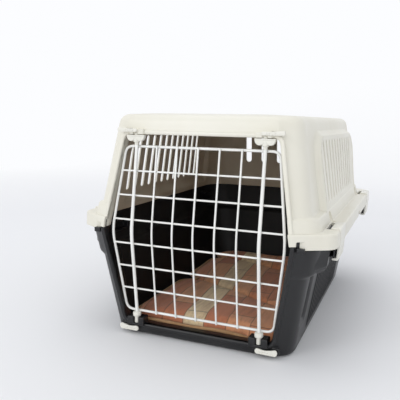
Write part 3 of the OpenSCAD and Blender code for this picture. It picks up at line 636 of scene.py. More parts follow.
def tub_details():
    """Sill with its two forked blocks, clip pockets and locating tabs."""
    out = []
    sill = box_mesh("sill", (-106, -207.6, 5.0), (106, -192, 14.2), 1.2)
    cut(sill, [lock_slot(s, LOCK_LOW_Z) for s in (-1, 1)])
    out.append(sill)
    for s in (-1, 1):
        cx = s * ROD_X
        block = box_mesh("fork", (cx - 12, -213.6, 13.6), (cx + 11.4, -199, 24.6), 0)
        a = np.radians(np.linspace(0, 180, 15))
        bottom = np.column_stack([cx - 3.6 * np.cos(a), PIN_Y + 3.6 * np.sin(a)])
        u = np.concatenate([[(cx - 3.6, -240)], bottom, [(cx + 3.6, -240)]])
        cut(block, [prism("u", u, "z", 16, 40)])
        soften(block, 1.0, 3)
        out.append(block)
        for y in CLIP_Y:
            x0, x1 = sorted((s * 136, s * 159.4))
            pocket = box_mesh("pocket", (x0, y - 21, 122.5), (x1, y + 21, 138), 0)
            x0, x1 = sorted((s * 134, s * 157.0))
            cut(pocket, [box_mesh("hollow", (x0, y - 24, 124.9), (x1, y + 18, 135.6))])
            soften(pocket, 1.0, 3)
            out.append(pocket)
        x0, x1 = sorted((s * 125.0, s * 133.4))
        out.append(box_mesh("tab", (x0, -226.6, 135), (x1, -221, 140.6), 0.5))
    return out


# ---------------------------------------------------------------- materials


def lin(r, g, b):
    """Linear colour of an sRGB triple from 0 to 255."""
    c = np.array([r, g, b]) / 255.0
    v = np.where(c <= 0.04045, c / 12.92, ((c + 0.055) / 1.055) ** 2.4)
    return (float(v[0]), float(v[1]), float(v[2]), 1.0)


class Finish:
    """A material with its node tree, and short calls for the nodes it needs."""

    def __init__(self, name):
        self.mat = bpy.data.materials.new(name)
        self.mat.use_nodes = True
        self.tree = self.mat.node_tree
        self.tree.nodes.clear()
        self.out = self.node("ShaderNodeOutputMaterial")
        self.shader = self.node("ShaderNodeBsdfPrincipled")
        self.link(self.shader.outputs[0], self.out.inputs["Surface"])
        self.place = self.node("ShaderNodeTexCoord").outputs["Object"]

    def node(self, kind, inputs=None, **values):
        n = self.tree.nodes.new(kind)
        for k, v in values.items():
            setattr(n, k, v)
        for k, v in (inputs or {}).items():
            if isinstance(v, bpy.types.NodeSocket):
                self.link(v, n.inputs[k])
            else:
                n.inputs[k].default_value = v
        return n

    def link(self, a, b):
        self.tree.links.new(a, b)

    def set(self, **values):
        """Values of the shader's own sockets; an underscore stands for a space."""
        for k, v in values.items():
            s = self.shader.inputs[k.replace("_", " ")]
            if isinstance(v, bpy.types.NodeSocket):
                self.link(v, s)
            else:
                s.default_value = v

    def scaled(self, x, y, z, turn=(0, 0, 0)):
        given = {"Vector": self.place, "Scale": (x, y, z), "Rotation": turn}
        return self.node("ShaderNodeMapping", given).outputs[0]

    def noise(self, scale, detail=3.0, rough=0.5, at=None, distort=0.0):
        return self.node("ShaderNodeTexNoise", {"Vector": at or self.place, "Scale": scale, "Detail": detail,
                                                "Roughness": rough, "Distortion": distort}).outputs[0]

    def span(self, value, a, b, c, d):
        """Value carried from the range a..b to c..d."""
        return self.node("ShaderNodeMapRange", {"Value": value, "From Min": a, "From Max": b,
                                                "To Min": c, "To Max": d}).outputs[0]

    def math(self, op, a, b=0.0, c=0.0):
        return self.node("ShaderNodeMath", {0: a, 1: b, 2: c}, operation=op).outputs[0]

    def ramp(self, value, stops, kind="LINEAR"):
        n = self.node("ShaderNodeValToRGB", {"Fac": value})
        n.color_ramp.interpolation = kind
        while len(n.color_ramp.elements) < len(stops):
            n.color_ramp.elements.new(0.5)
        for e, (p, c) in zip(n.color_ramp.elements, stops):
            e.position, e.color = p, c
        return n.outputs[0]

    def mix(self, fac, a, b):
        n = self.node("ShaderNodeMix", data_type="RGBA")
        for k, v in ((0, fac), (6, a), (7, b)):
            if isinstance(v, bpy.types.NodeSocket):
                self.link(v, n.inputs[k])
            else:
                n.inputs[k].default_value = v
        return n.outputs[2]

    def bump(self, height, distance, strength=1.0, normal=None):
        given = {"Height": height, "Distance": distance, "Strength": strength}
        if normal is not None:
            given["Normal"] = normal
        return self.node("ShaderNodeBump", given).outputs[0]

    def edge(self, radius, lo=0.02, hi=0.25):
        """Mask that is 1 on sharp edges, and the rounded normal it comes from."""
        n = self.node("ShaderNodeBevel", {"Radius": radius}, samples=4).outputs[0]
        flat = self.node("ShaderNodeNewGeometry").outputs["Normal"]
        dot = self.node("ShaderNodeVectorMath", {0: n, 1: flat}, operation="DOT_PRODUCT").outputs["Value"]
        return self.span(self.math("SUBTRACT", 1.0, dot), lo, hi, 0.0, 1.0), n


def moulded(name, base, pale_highlight_and_flow, dusty, rough, grain, edge=0.0007):
    """Moulded plastic: fine spark-eroded grain, soft flow marks, handling shine, and sharp edges painted
    paler in rubbed patches, a painted highlight that also stands for wear.
    """
    f = Finish(name)
    cloud = f.noise(9.0, 4.0, 0.55)
    flow = f.noise(14.0, 3.0, 0.5, at=f.scaled(1.0, 1.0, 0.22), distort=0.6)
    fine = f.noise(1500.0, 2.0, 0.6)
    coarse = f.noise(430.0, 2.0, 0.55)
    mask, rounded = f.edge(edge)
    # sharp edges painted paler in patches: a painted edge highlight, broken up like rubbed wear
    patch_mask = f.math("MULTIPLY", mask, f.span(f.noise(60.0, 3.0, 0.7), 0.35, 0.7, 0.15, 0.75))
    colour = f.mix(f.span(cloud, 0.35, 0.7, 0.0, 1.0), base, dusty)
    colour = f.mix(f.math("MULTIPLY", f.span(flow, 0.42, 0.62, 0.0, 1.0), 0.16), colour, pale_highlight_and_flow)
    colour = f.mix(patch_mask, colour, pale_highlight_and_flow)
    scuff = f.noise(26.0, 6.0, 0.75, at=f.scaled(1.0, 4.0, 1.0, (0.3, 0.2, 0.5)))
    r = f.math("ADD", f.span(cloud, 0.3, 0.7, rough - 0.05, rough + 0.06),
               f.span(scuff, 0.55, 0.75, 0.0, 0.09))
    height = f.math("ADD", f.math("MULTIPLY", coarse, 0.6), f.math("MULTIPLY", fine, 0.4))
    f.set(Base_Color=colour, Roughness=r, IOR=1.49,
          Normal=f.bump(height, grain, 0.55, f.bump(f.noise(22.0, 2.0, 0.5), 0.0004, 0.25, rounded)))
    return f.mat


# the third colour of each is the paler tone of the painted edge highlight and of the flow marks
IVORY = moulded("ivory_moulded", lin(229, 226, 214), lin(238, 236, 228), lin(224, 220, 206), 0.36, 0.00003)
# darker, browner copy of the ivory for the inner faces: painted shade inside the shell
IVORY_PAINTED_SHADE_INSIDE = moulded("ivory_painted_shade_inside", lin(196, 184, 164), lin(212, 202, 184), lin(184, 170, 148),
                       0.5, 0.00003)
IVORY_SMALL = moulded("ivory_fittings", lin(232, 230, 221), lin(243, 242, 236), lin(226, 223, 212),
                      0.3, 0.00002, 0.0004)
BLACK = moulded("black_moulded", lin(22, 22, 24), lin(58, 58, 60), lin(27, 27, 29), 0.34, 0.00005)
# darker copy of the black for the inside of the tub: the darker colour is painted shade, the higher roughness
# a duller finish
BLACK_PAINTED_SHADE_INSIDE = moulded("black_painted_shade_inside", lin(13, 13, 14), lin(30, 30, 31), lin(16, 16, 17), 0.6, 0.00008)
BLACK_HANDLE = moulded("black_handle", lin(30, 30, 32), lin(60, 60, 62), lin(34, 34, 36), 0.44, 0.00008)


def coated_wire():
    """Steel wire dipped in white coating: glossy, slightly wavy, greyer in a few rubbed places."""
    f = Finish("white_coating")
    run = f.noise(45.0, 3.0, 0.5, at=f.scaled(1.0, 1.0, 0.35))
    patch_mask = f.span(f.noise(120.0, 4.0, 0.7), 0.66, 0.8, 0.0, 0.35)
    colour = f.mix(f.span(run, 0.35, 0.65, 0.0, 1.0), lin(244, 244, 241), lin(235, 235, 231))
    f.set(Base_Color=f.mix(patch_mask, colour, lin(214, 214, 210)),
          Roughness=f.span(run, 0.3, 0.7, 0.16, 0.3), IOR=1.5, Coat_Weight=0.35, Coat_Roughness=0.08,
          Normal=f.bump(f.noise(210.0, 2.0, 0.5), 0.00012, 0.35))
    return f.mat


def drawn_steel():
    """Bright drawn steel with fine rings round it."""
    f = Finish("steel_pins")
    rings = f.noise(900.0, 2.0, 0.6, at=f.scaled(0.25, 1.0, 0.25))
    colour = f.mix(f.span(rings, 0.3, 0.7, 0.0, 1.0), lin(176, 177, 180), lin(201, 202, 205))
    f.set(Base_Color=colour, Metallic=1.0, Roughness=f.span(rings, 0.3, 0.7, 0.24, 0.42),
          Normal=f.bump(rings, 0.00002, 0.6))
    return f.mat


def woven(f, pitch=0.0007):
    """Height of a plain weave in the flat of the piece: sine of x times sine of y, on object coordinates."""
    at = f.node("ShaderNodeSeparateXYZ", {0: f.place})
    k = 2 * math.pi / pitch
    sx = f.math("SINE", f.math("MULTIPLY", at.outputs[0], k))
    sy = f.math("SINE", f.math("MULTIPLY", at.outputs[1], k))
    return f.math("MULTIPLY", sx, sy)


def printed_cloth():
    """Quilted mat cover: a brushed weave printed with plain planks of mixed browns and one pale row."""
    f = Finish("mat_cover")
    warp = f.node("ShaderNodeTexNoise", {"Vector": f.place, "Scale": 11.0, "Detail": 2.0})
    bend = f.node("ShaderNodeVectorMath", {0: warp.outputs["Color"], 1: (-0.5, -0.5, -0.5)}, operation="ADD")
    bend = f.node("ShaderNodeVectorMath", {0: bend.outputs[0], "Scale": 0.011}, operation="SCALE")
    at = f.node("ShaderNodeVectorMath", {0: f.place, 1: bend.outputs[0]}, operation="ADD").outputs[0]
    given = {"Vector": at, "Location": (0.0105, 0, 0), "Rotation": (0, 0, -0.05)}
    at = f.node("ShaderNodeMapping", given).outputs[0]
    xyz = f.node("ShaderNodeSeparateXYZ", {0: at})
    across = f.math("DIVIDE", xyz.outputs[0], 0.031)
    row = f.math("FLOOR", across)
    shift = f.node("ShaderNodeTexWhiteNoise", {"W": row}, noise_dimensions="1D").outputs["Value"]
    along = f.math("ADD", f.math("DIVIDE", xyz.outputs[1], 0.105), f.math("MULTIPLY", shift, 3.0))
    cell = f.node("ShaderNodeCombineXYZ", {0: row, 1: f.math("FLOOR", along)}).outputs[0]
    pick = f.node("ShaderNodeTexWhiteNoise", {"Vector": cell}, noise_dimensions="3D").outputs["Value"]
    tones = [(0.0, lin(222, 142, 102)), (0.17, lin(232, 158, 116)), (0.34, lin(240, 176, 130)),
             (0.45, lin(214, 134, 97)), (0.62, lin(226, 150, 109)), (0.76, lin(202, 126, 93)),
             (0.88, lin(236, 166, 122))]
    colour = f.ramp(pick, tones, "CONSTANT")
    pale = f.math("COMPARE", row, -1.0, 0.1)
    colour = f.mix(pale, colour, lin(252, 228, 186))
    streak = f.noise(150.0, 4.0, 0.65, at=f.scaled(1.0, 0.09, 1.0), distort=0.8)
    colour = f.mix(f.span(streak, 0.45, 0.7, 0.0, 0.4), colour, lin(150, 88, 62))
    gap = f.math("ABSOLUTE", f.math("SUBTRACT", f.math("FRACT", across), 0.5))
    end = f.math("ABSOLUTE", f.math("SUBTRACT", f.math("FRACT", along), 0.5))
    line = f.math("MAXIMUM", f.span(gap, 0.468, 0.49, 0.0, 1.0), f.span(end, 0.488, 0.495, 0.0, 1.0))
    colour = f.mix(f.math("MULTIPLY", line, 0.6), colour, lin(70, 44, 36))
    weave = woven(f)
    pile = f.noise(800.0, 3.0, 0.6)
    colour = f.mix(f.span(pile, 0.35, 0.7, 0.0, 0.15), colour, lin(226, 180, 140))
    height = f.math("ADD", f.math("MULTIPLY", weave, 0.5), pile)
    f.set(Base_Color=colour, Roughness=0.92, Sheen_Weight=0.25, Sheen_Roughness=0.5,
          Normal=f.bump(height, 0.00022, 0.7, f.bump(f.noise(38.0, 4.0, 0.6), 0.0022, 0.6)))
    return f.mat


def binding_cloth():
    """Tan twill binding: slanted ribs and small stitches."""
    f = Finish("mat_binding")
    xyz = f.node("ShaderNodeSeparateXYZ", {0: f.place})
    slant = f.math("ADD", xyz.outputs[0], f.math("MULTIPLY", xyz.outputs[1], 0.6))
    twill = f.math("SINE", f.math("MULTIPLY", slant, 2 * math.pi / 0.0011))
    tone = f.noise(35.0, 4.0, 0.6)
    colour = f.mix(f.span(tone, 0.35, 0.65, 0.0, 1.0), lin(186, 141, 98), lin(212, 172, 128))
    height = f.math("ADD", f.math("MULTIPLY", twill, 0.4), f.noise(600.0, 2.0, 0.5))
    f.set(Base_Color=f.mix(f.span(twill, -1.0, 1.0, 0.0, 0.2), colour, lin(150, 104, 70)), Roughness=0.88,
          Sheen_Weight=0.2, Sheen_Roughness=0.5,
          Normal=f.bump(height, 0.00025, 0.7))
    return f.mat


WIRE, STEEL, COVER, BINDING = coated_wire(), drawn_steel(), printed_cloth(), binding_cloth()

# ---------------------------------------------------------------- pieces


def dress(ob, body, slot, *mats, replaces=()):
    """Gives a finished piece its materials, its body and the CAD nodes it stands for; its slot argument is
    not used.
    """
    me = ob.data
    which = np.zeros(len(me.polygons), np.int32)
    me.polygons.foreach_get("material_index", which)
    inside = np.array([m is not None and m.name.startswith("inside") for m in me.materials] or [False])
    which = inside[np.minimum(which, len(inside) - 1)].astype(np.int32)
    me.materials.clear()
    for m in mats:
        me.materials.append(m)
    me.polygons.foreach_set("material_index", np.minimum(which, len(mats) - 1))
    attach(ob, body)
    if replaces:
        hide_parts(*replaces)
    return ob


def turned(name, profile, cx, cy, sides=40, level=False):
    """Surface of revolution about an upright axis at cx, cy: the profile is rows of (radius, z) from axis to
    axis. A level one turns about an axis along y at x = cx and z = cy instead, with rows of (radius, y)."""
    r, h = np.asarray(profile, float).T
    a = np.linspace(0, 2 * math.pi, sides, endpoint=False)
    u, v = cx + r[:, None] * np.cos(a), cy + r[:, None] * np.sin(a)
    h = np.broadcast_to(h[:, None], u.shape)
    ob = lofted(name, np.stack([u, h, v] if level else [u, v, h], -1))
    shade(ob, 50)
    return ob


def round_end(r, z, up, e=0.8, n=4):
    """Rows (radius, z) that round the end of a turned piece at height z, seen from its axis outwards."""
    a = np.radians(np.linspace(90, 0, n))
    return [(r - e + e * math.cos(v), z + (e * math.sin(v) - e) * up) for v in a]


def turned_rod(name, r, z0, z1, cx, cy, e=0.5, **kw):
    """Upright round bar with rounded ends."""
    low = [(0.02, z0)] + round_end(r, z0, -1, e)
    high = [(0.02, z1)] + round_end(r, z1, 1, e)
    return turned(name, low + high[::-1], cx, cy, **kw)


def make_shells():
    """Upper shell with lip, bearing pads, clip ears and handle recess, and the tub with its details."""
    shell = upper_shell()
    extra = [sweep_along("lip_up", opening_part(142.6, 300), bead_profile())]
    cut(extra[0], [lock_slot(s, LOCK_TOP_Z) for s in (-1, 1)])
    for s in (-1, 1):
        x0, x1 = sorted((s * 70.6, s * 89.6))
        pad = box_mesh("pad", (x0, -213.5, 258.5), (x1, -206, 264.6), 0)
        a, b = s * ROD_X - 3.1, s * ROD_X + 3.1
        u = [(a, -230), (b, -230), (b, PIN_Y + 3), (a, PIN_Y + 3)]
        cut(pad, [prism("u", u, "z", 250, 261.8)])
        cut(pad, [lock_slot(s, LOCK_TOP_Z)])
        soften(pad, 0.7, 2)
        extra.append(pad)
        for y in CLIP_Y:
            for k in (-1, 1):
                c = y + k * 24.4
                x0, x1 = sorted((s * 153.5, s * 161.9))
                ear = box_mesh("ear", (x0, c - 3, 144.5), (x1, c + 3, 154.0), 0.8)
                extra.append(ear)
    wall = 3
    recess = box_mesh("recess", (RECESS_X0 - wall, -RECESS_Y - wall, RECESS_Z - wall),
                      (RECESS_X1 + wall, RECESS_Y + wall, 284.4))
    cut(recess, [box_mesh("hollow", (RECESS_X0, -RECESS_Y, RECESS_Z), (RECESS_X1, RECESS_Y, 300))])
    soften(recess, 1.2, 3)
    extra.append(recess)
    for s in (-1, 1):
        extra.append(box_mesh("bearing", (-25, s * 79 - 3.1, 266), (-11, s * 79 + 3.1, 282.4), 1.2))
    shell = join("upper_shell_skin", [shell] + extra)
    # the shell's inner faces get the darker ivory, painted shade
    dress(shell, "carrier", "ivory_plastic", IVORY, IVORY_PAINTED_SHADE_INSIDE, replaces=["upper_shell"])
    tub = lower_tub()
    extra = tub_details() + [sweep_along("lip_low", opening_part(-10, 142.2), bead_profile())]
    tub = join("lower_tub_skin", [tub] + extra)
    # the tub's inner faces get the darker black, painted shade
    dress(tub, "carrier", "black_plastic", BLACK, BLACK_PAINTED_SHADE_INSIDE, replaces=["lower_tub"])


def door_y(z):
    """Plane of the bent door at height z."""
    return DOOR_Y - DOOR_BEND * (1 - np.abs(z - BEND_Z) / ((DOOR_TOP - DOOR_LOW) / 2))


def door_half(z):
    """Half width of the door's frame at height z."""
    return 110.9 - 12.9 * np.abs(z - BEND_Z) / ((DOOR_TOP - DOOR_LOW) / 2)


def make_door():
    """Wires of the door: closed frame, five uprights, six cross wires and the two latch rods."""
    zs = [(DOOR_LOW, 9.5), (BEND_Z, 14), (DOOR_TOP, 9.5)]
    right = [(door_half(z), door_y(z) + 2.3, z, r) for z, r in zs]
    left = [(-x, y, z, r) for x, y, z, r in right[::-1]]
    mid = (0.0, door_y(DOOR_LOW) + 2.3, DOOR_LOW, 0)
    path = rounded_path([mid] + right + left + [mid], 0.9)[:-1]
    dress(tube("door_frame_wire", path, FRAME_R, closed=True, sides=18), "door", "white_coating", WIRE,
          replaces=["door_frame"])
    ups = []
    for i in range(-2, 3):
        x = i * 27.2
        pts = [(x, door_y(z) - 0.6, z) for z in (DOOR_LOW - 0.6, BEND_Z, DOOR_TOP + 0.6)]
        ups.append(tube("wire", bent(pts, 14, 1.6), WIRE_R))
    dress(join("door_upright_wires", ups), "door", "white_coating", WIRE, replaces=["upright_wires"])
    rows = []
    for i in range(1, 7):
        z = DOOR_LOW + i * 30.26
        w = float(door_half(z)) - 0.6
        x = np.linspace(-w, w, 24)
        pts = np.column_stack([x, 0 * x + door_y(z) + 1.85, 0 * x + z])
        rows.append(tube("wire", pts, WIRE_R, up=(0, 0, 1)))
    dress(join("door_cross_wires", rows), "door", "white_coating", WIRE, replaces=["cross_wires"])
    for s, side in SIDES:
        x = s * ROD_X
        pts = [(x, PIN_Y, 24.0), (x, PIN_Y, 33), (x, PIN_Y - DOOR_BEND, BEND_Z), (x, PIN_Y, 243),
               (x, PIN_Y, 248.6)]
        rod = tube("rod", bent(pts, 12, 1.6), ROD_R, sides=20)
        spigot = turned_rod("spigot", 1.4, 246, 257, x, PIN_Y, 0.3, sides=20)
        rod = join("latch_rod_wire_" + side, [rod, spigot])
        dress(rod, "door", "white_coating", WIRE, replaces=["latch_rod_" + side])
        profile = [(0.02, 16.3)] + round_end(3.0, 16.3, -1, 0.6) + [
            (3.0, 25.0), (4.6, 25.1), (5.25, 25.8), (5.25, 29.6), (4.7, 30.6), (3.3, 31.2), (2.2, 31.3),
            (0.02, 31.3)]
        collar = turned("collar", profile, x, PIN_Y)
        dress(collar, "door", "ivory_plastic", IVORY_SMALL, replaces=["pivot_foot_" + side])
        collar.name = collar.data.name = "pivot_collar_" + side


def make_grips():
    """Thumb grips under the header: a thin top plate, two hanging lobes, the sleeve and the bolt."""
    for s, side in SIDES:
        x = s * ROD_X
        parts = [turned_rod("sleeve", 4.0, 248.8, 257.2, x, PIN_Y, 0.7)]
        parts.append(turned_rod("bolt", 2.5, 256, 260.7, x, PIN_Y, 0.8))
        line = rounded_rect(x - 12.6, x + 12.6, PIN_Y - 4.6, PIN_Y + 3.4, 2.6)
        plate = prism("plate", line, "z", 256.0, 257.8)
        soften(plate, 0.6, 3)
        parts.append(plate)
        for m in (-1, 1):
            c = x + m * 6.3
            a = np.radians(np.linspace(180, 360, 19))
            lobe = np.column_stack([c + 5.9 * np.cos(a), 256.6 + 6.6 * np.sin(a)])
            ob = prism("lobe", lobe, "y", PIN_Y - 4.0, PIN_Y + 2.0)
            soften(ob, 1.3, 4)
            parts.append(ob)
        dress(join("thumb_grip_skin_" + side, parts), "thumb_grip_" + side, "ivory_plastic", IVORY_SMALL,
              replaces=["thumb_grip_" + side])


def lock_outline(cx, z, length, tall, dip, taper):
    """Outline of a slide lock: a capsule whose top edge dips in the middle by dip, and whose inboard end
    (low x) is lowered by taper."""
    h, x0, x1 = tall / 2, cx - 10, cx - 10 + length
    a = np.radians(np.linspace(-90, 90, 13))
    r = h
    right = np.column_stack([x1 - r * 0.8 + r * 0.8 * np.cos(a), z + r * np.sin(a)])
    t = np.linspace(0, 1, 15)[1:-1]
    top = np.column_stack([x1 - r * 0.8 + (x0 - x1 + 1.6 * r) * t,
                           z + h - dip * np.sin(math.pi * t) - taper * t])
    b = np.radians(np.linspace(90, 270, 13))
    low = h - taper / 2
    left = np.column_stack([x0 + r * 0.8 + r * 0.8 * np.cos(b), z - taper / 2 + low * np.sin(b)])
    return np.concatenate([right, top, left])


def make_locks():
    """Slide locks: a ribbed plate on the face with a tongue in the guide slot behind it."""
    for s, side in SIDES:
        for high in (False, True):
            z = LOCK_TOP_Z if high else LOCK_LOW_Z
            forward, tall, dip, taper = (8.05, 5.4, 0.5, 1.2) if high else (5.5, 7.8, 1.7, 1.0)
            y = float(front_at(z)) - forward
            line = lock_outline(LOCK_X, z, LOCK_L, tall, dip, taper)
            line[:, 0] *= s
            plate = prism("plate", line, "y", y, y + 2.5)
            soften(plate, 0.7, 3)
            x0, x1 = sorted((s * 97.0, s * 101.0))
            tongue = box_mesh("tongue", (x0, y + 2, z - 1.3), (x1, y + (10 if high else 8), z + 1.3), 0.4)
            parts = [plate, tongue]
            for k in range(4):
                cx = s * (84.0 + 3.2 * k)
                parts.append(box_mesh("rib", (cx - 0.5, y - 0.5, z - 1.5), (cx + 0.5, y + 0.4, z + 1.1),
                                      0.35, 2))
            name = "slide_lock_%s_%s" % ("top" if high else "low", side)
            dress(join(name + "_skin", parts), name, "ivory_plastic", IVORY_SMALL, replaces=[name])


def make_clips():
    """Side clips: a bent strap with a hooked low end, a finger pad over the shelf, a barrel and grip ribs."""
    hx, hz, out, low = 158.5, 149.6, 164.98, 119.2
    corners = [(out - 9, low + 0.2, 0.8), (out - 1.6, low, 2.2), (out, 139, 6), (out, 157.4, 2.0),
               (hx - 5, 157.4, 0.9), (hx - 5.4, 155.2, 0.9), (out - 3.8, 154.2, 0.8), (out - 3.2, 146.6, 3),
               (out - 3, 138, 4), (out - 4, low + 3, 0.8), (out - 9, low + 2.6, 0.8)]
    ring = rounded_path([corners[-1][:2] + (0,)] + corners, 0.7)
    for y, where in zip(CLIP_Y, ("front", "rear")):
        for s, side in SIDES:
            line = ring[1:].copy()
            line[:, 0] *= s
            strap = prism("strap", line, "y", y - 21, y + 21)
            soften(strap, 0.7, 3)
            e = [(1.3, y - 21), (2.6, y - 21), (3.2, y - 20.4), (3.2, y + 20.4), (2.6, y + 21), (1.3, y + 21)]
            parts = [strap, turned("barrel", e, s * hx, hz, 32, level=True)]
            for k in range(4):
                z = 123.0 + 3.6 * k
                x = s * (out - 1.3 + 1.0 * float(smooth(119, 139, z)))
                x0, x1 = sorted((x - s * 0.6, x + s * 0.5))
                parts.append(box_mesh("rib", (x0, y - 15, z - 0.7), (x1, y + 15, z + 0.7), 0.45, 2))
            name = "shell_clip_%s_%s" % (where, side)
            dress(join(name + "_skin", parts), name, "ivory_plastic", IVORY_SMALL, replaces=[name])


def make_handle():
    """Carrying handle: a round-cornered section swept round a U, wider along the bar, with finger hollows."""
    zc = 283 - 5.5 - 1
    path = rounded_path([(-18.0, -69.0, 0), (25.0, -69.0, 13), (25.0, 69.0, 13), (-18.0, 69.0, 0)], 1.5)
    fine = []
    for a, b in zip(path[:-1], path[1:]):
        k = max(2, int(np.linalg.norm(b - a) / 2.2))
        fine.append(a + (b - a) * np.linspace(0, 1, k, endpoint=False)[:, None])
    path = np.concatenate(fine + [path[-1:]])
    t = tangents(path)
    nrm = np.column_stack([t[:, 1], -t[:, 0]])
    wide = 6.0 + 2.4 * smooth(4, 22, path[:, 0])
    y = path[:, 1]
    hollow = 0.9 * (0.5 + 0.5 * np.cos(2 * math.pi * y / 24.0))
    hollow = hollow * smooth(58, 44, np.abs(y)) * smooth(10, 22, path[:, 0])
    a = np.linspace(0, 2 * math.pi, 36, endpoint=False)
    c = np.sign(np.cos(a)) * np.abs(np.cos(a)) ** 0.55
    s = np.sign(np.sin(a)) * np.abs(np.sin(a)) ** 0.55
    off = c[None, :] * (wide - hollow * 0.5)[:, None]
    z = zc + 5.2 * s[None, :] + hollow[:, None] * smooth(0.2, 1.0, -s)[None, :]
    xy = path[:, None] + nrm[:, None] * off[..., None]
    pts = np.concatenate([xy, z[..., None]], -1)
    bail = lofted("bail", pts)
    parts = [bail]
    for k in (-1, 1):
        y0, y1 = sorted((k * 63.0, k * 75.0))
        e = [(0.02, y0), (4.6, y0), (5.5, y0 + 0.9), (5.5, y1 - 0.9), (4.6, y1), (0.02, y1)]
        parts.append(turned("boss", e, -18.0, zc, 32, level=True))
    bail = join("carry_handle_bail", parts)
    dress(bail, "carry_handle", "black_plastic", BLACK_HANDLE, replaces=["carry_handle"])


# ---------------------------------------------------------------- mat


def mat_outline():
    """Outline of the mat in plan: a rectangle with round corners, before its edges are drawn in."""
    hx, y0, y1, r = 109.0, -184.0, 182.0, 24.0
    out = []
    corners = ((hx - r, y0 + r, -90), (hx - r, y1 - r, 0), (-hx + r, y1 - r, 90), (-hx + r, y0 + r, 180))
    for cx, cy, a0 in corners:
        a = np.radians(np.linspace(a0, a0 + 90, 12))
        out.append(np.column_stack([cx + r * np.cos(a), cy + r * np.sin(a)]))
    return even_loop(np.concatenate(out), 200)


def make_mat():
    """Puffed mat with sewn channels and folds, and the piping round its edge."""
    line = mat_outline()
    x, y = line.T
    # the front runs askew with soft waves; the left edge is gathered in scallops
    front = smooth(-120, -180, y)
    wave = 2.2 * np.sin(x / 17.0) * smooth(-60, 60, x) + 1.2 * np.sin(x / 31.0 + 1)
    y = y + front * (-3.0 * x / 108 + wave)
    left = smooth(-90, -107, x)
    x = x + left * (22 * np.exp(-((y - 8) / 13) ** 2) + 16 * np.exp(-((y - 143) / 11) ** 2))
    line = np.column_stack([x, y])
    centre = np.array([0.0, -3.0])

    def ring(share, z):
        return np.column_stack([centre + (line - centre) * share, np.full(len(line), z)])

    inwards = np.linspace(0.93, 0.12, 16)
    rings = [ring(k, 7.2) for k in inwards[::-1]]
    rings += [ring(1 - 0.045 * k * k, 11.5 + 4.2 * k) for k in np.linspace(-1, 1, 9)]
    rings += [ring(k, 15.9) for k in inwards]
    mat = lofted("mat_pad", np.array(rings))
    puff(mat, voxel=5.0, pressure=3.2, cap=5.0)
    x, y, z = (points_of(mat) / MM).T
    top = smooth(9, 14, z)
    # sewn channels across the pad, folds at the right front and a rise towards the back wall
    first, second = y + 2 + 0.5 * (x + 86), y - 138 + 0.3 * (x + 100)
    channel = np.exp(-(first / 6.0) ** 2) + np.exp(-(second / 6.0) ** 2)
    crown = np.sqrt(np.abs(np.sin(math.pi * np.clip(np.minimum(np.abs(first), np.abs(second)), 0, 70) / 140)))
    z = z - 3.4 * channel * top + 4.5 * (crown - 0.3) * top
    fold = np.sin((x * 0.95 + (y + 180) * 0.25) / 2.6) * smooth(74, 96, x) * smooth(-60, -150, y)
    z = z + 1.5 * fold * top
    z = z + 5.0 * smooth(60, 175, y) * smooth(7, 12, z)
    z = z + 0.9 * np.sin(x / 19 + 1.3 * np.sin(y / 33)) * np.sin(y / 23 + 0.7) * top
    co = np.column_stack([x, y, np.maximum(z, 6.0)]) * MM
    mat.data.vertices.foreach_set("co", co.astype(np.float32).ravel())
    mat.data.update()
    mat.data.polygons.foreach_set("use_smooth", np.ones(len(mat.data.polygons), bool))
    dress(mat, "carrier", "mat_fabric", COVER, replaces=["mat"])
    edge = centre + (line - centre) * 1.006
    z = 12.0 + 0.5 * np.sin(edge[:, 0] / 13.0) + 3.2 * smooth(60, 175, edge[:, 1])
    piping = tube("mat_edge_binding", np.column_stack([edge, z]), 2.7, closed=True, sides=14, up=(0, 0, 1))
    dress(piping, "carrier", "mat_fabric", BINDING)


def puff(ob, voxel, pressure, cap):
    """Swells ob with a cloth simulation, and keeps every point within cap of where it started."""
    m = ob.modifiers.new("even", "REMESH")
    m.mode = "VOXEL"
    m.voxel_size = voxel * MM
    apply_modifiers(ob)
    start = points_of(ob)
    m = ob.modifiers.new("swell", "CLOTH")
    s = m.settings
    s.quality = 5
    s.mass = 0.2
    s.tension_stiffness = s.compression_stiffness = 12
    s.shear_stiffness = 6
    s.bending_stiffness = 0.4
    s.use_pressure = True
    s.uniform_pressure_force = pressure
    s.effector_weights.gravity = 0
    m.collision_settings.use_collision = False
    m.point_cache.frame_start, m.point_cache.frame_end = 1, 20
    scene = bpy.context.scene
    for f in range(1, 21):
        scene.frame_set(f)
    apply_modifiers(ob)
    scene.frame_set(1)
    move = points_of(ob) - start
    far = np.linalg.norm(move, axis=1)
    move *= np.minimum(1, cap * MM / np.maximum(far, 1e-9))[:, None]
    ob.data.vertices.foreach_set("co", (start + move).ravel())
    m = ob.modifiers.new("fine", "SUBSURF")
    m.levels = m.render_levels = 1
    apply_modifiers(ob)


# ---------------------------------------------------------------- stage, light and camera


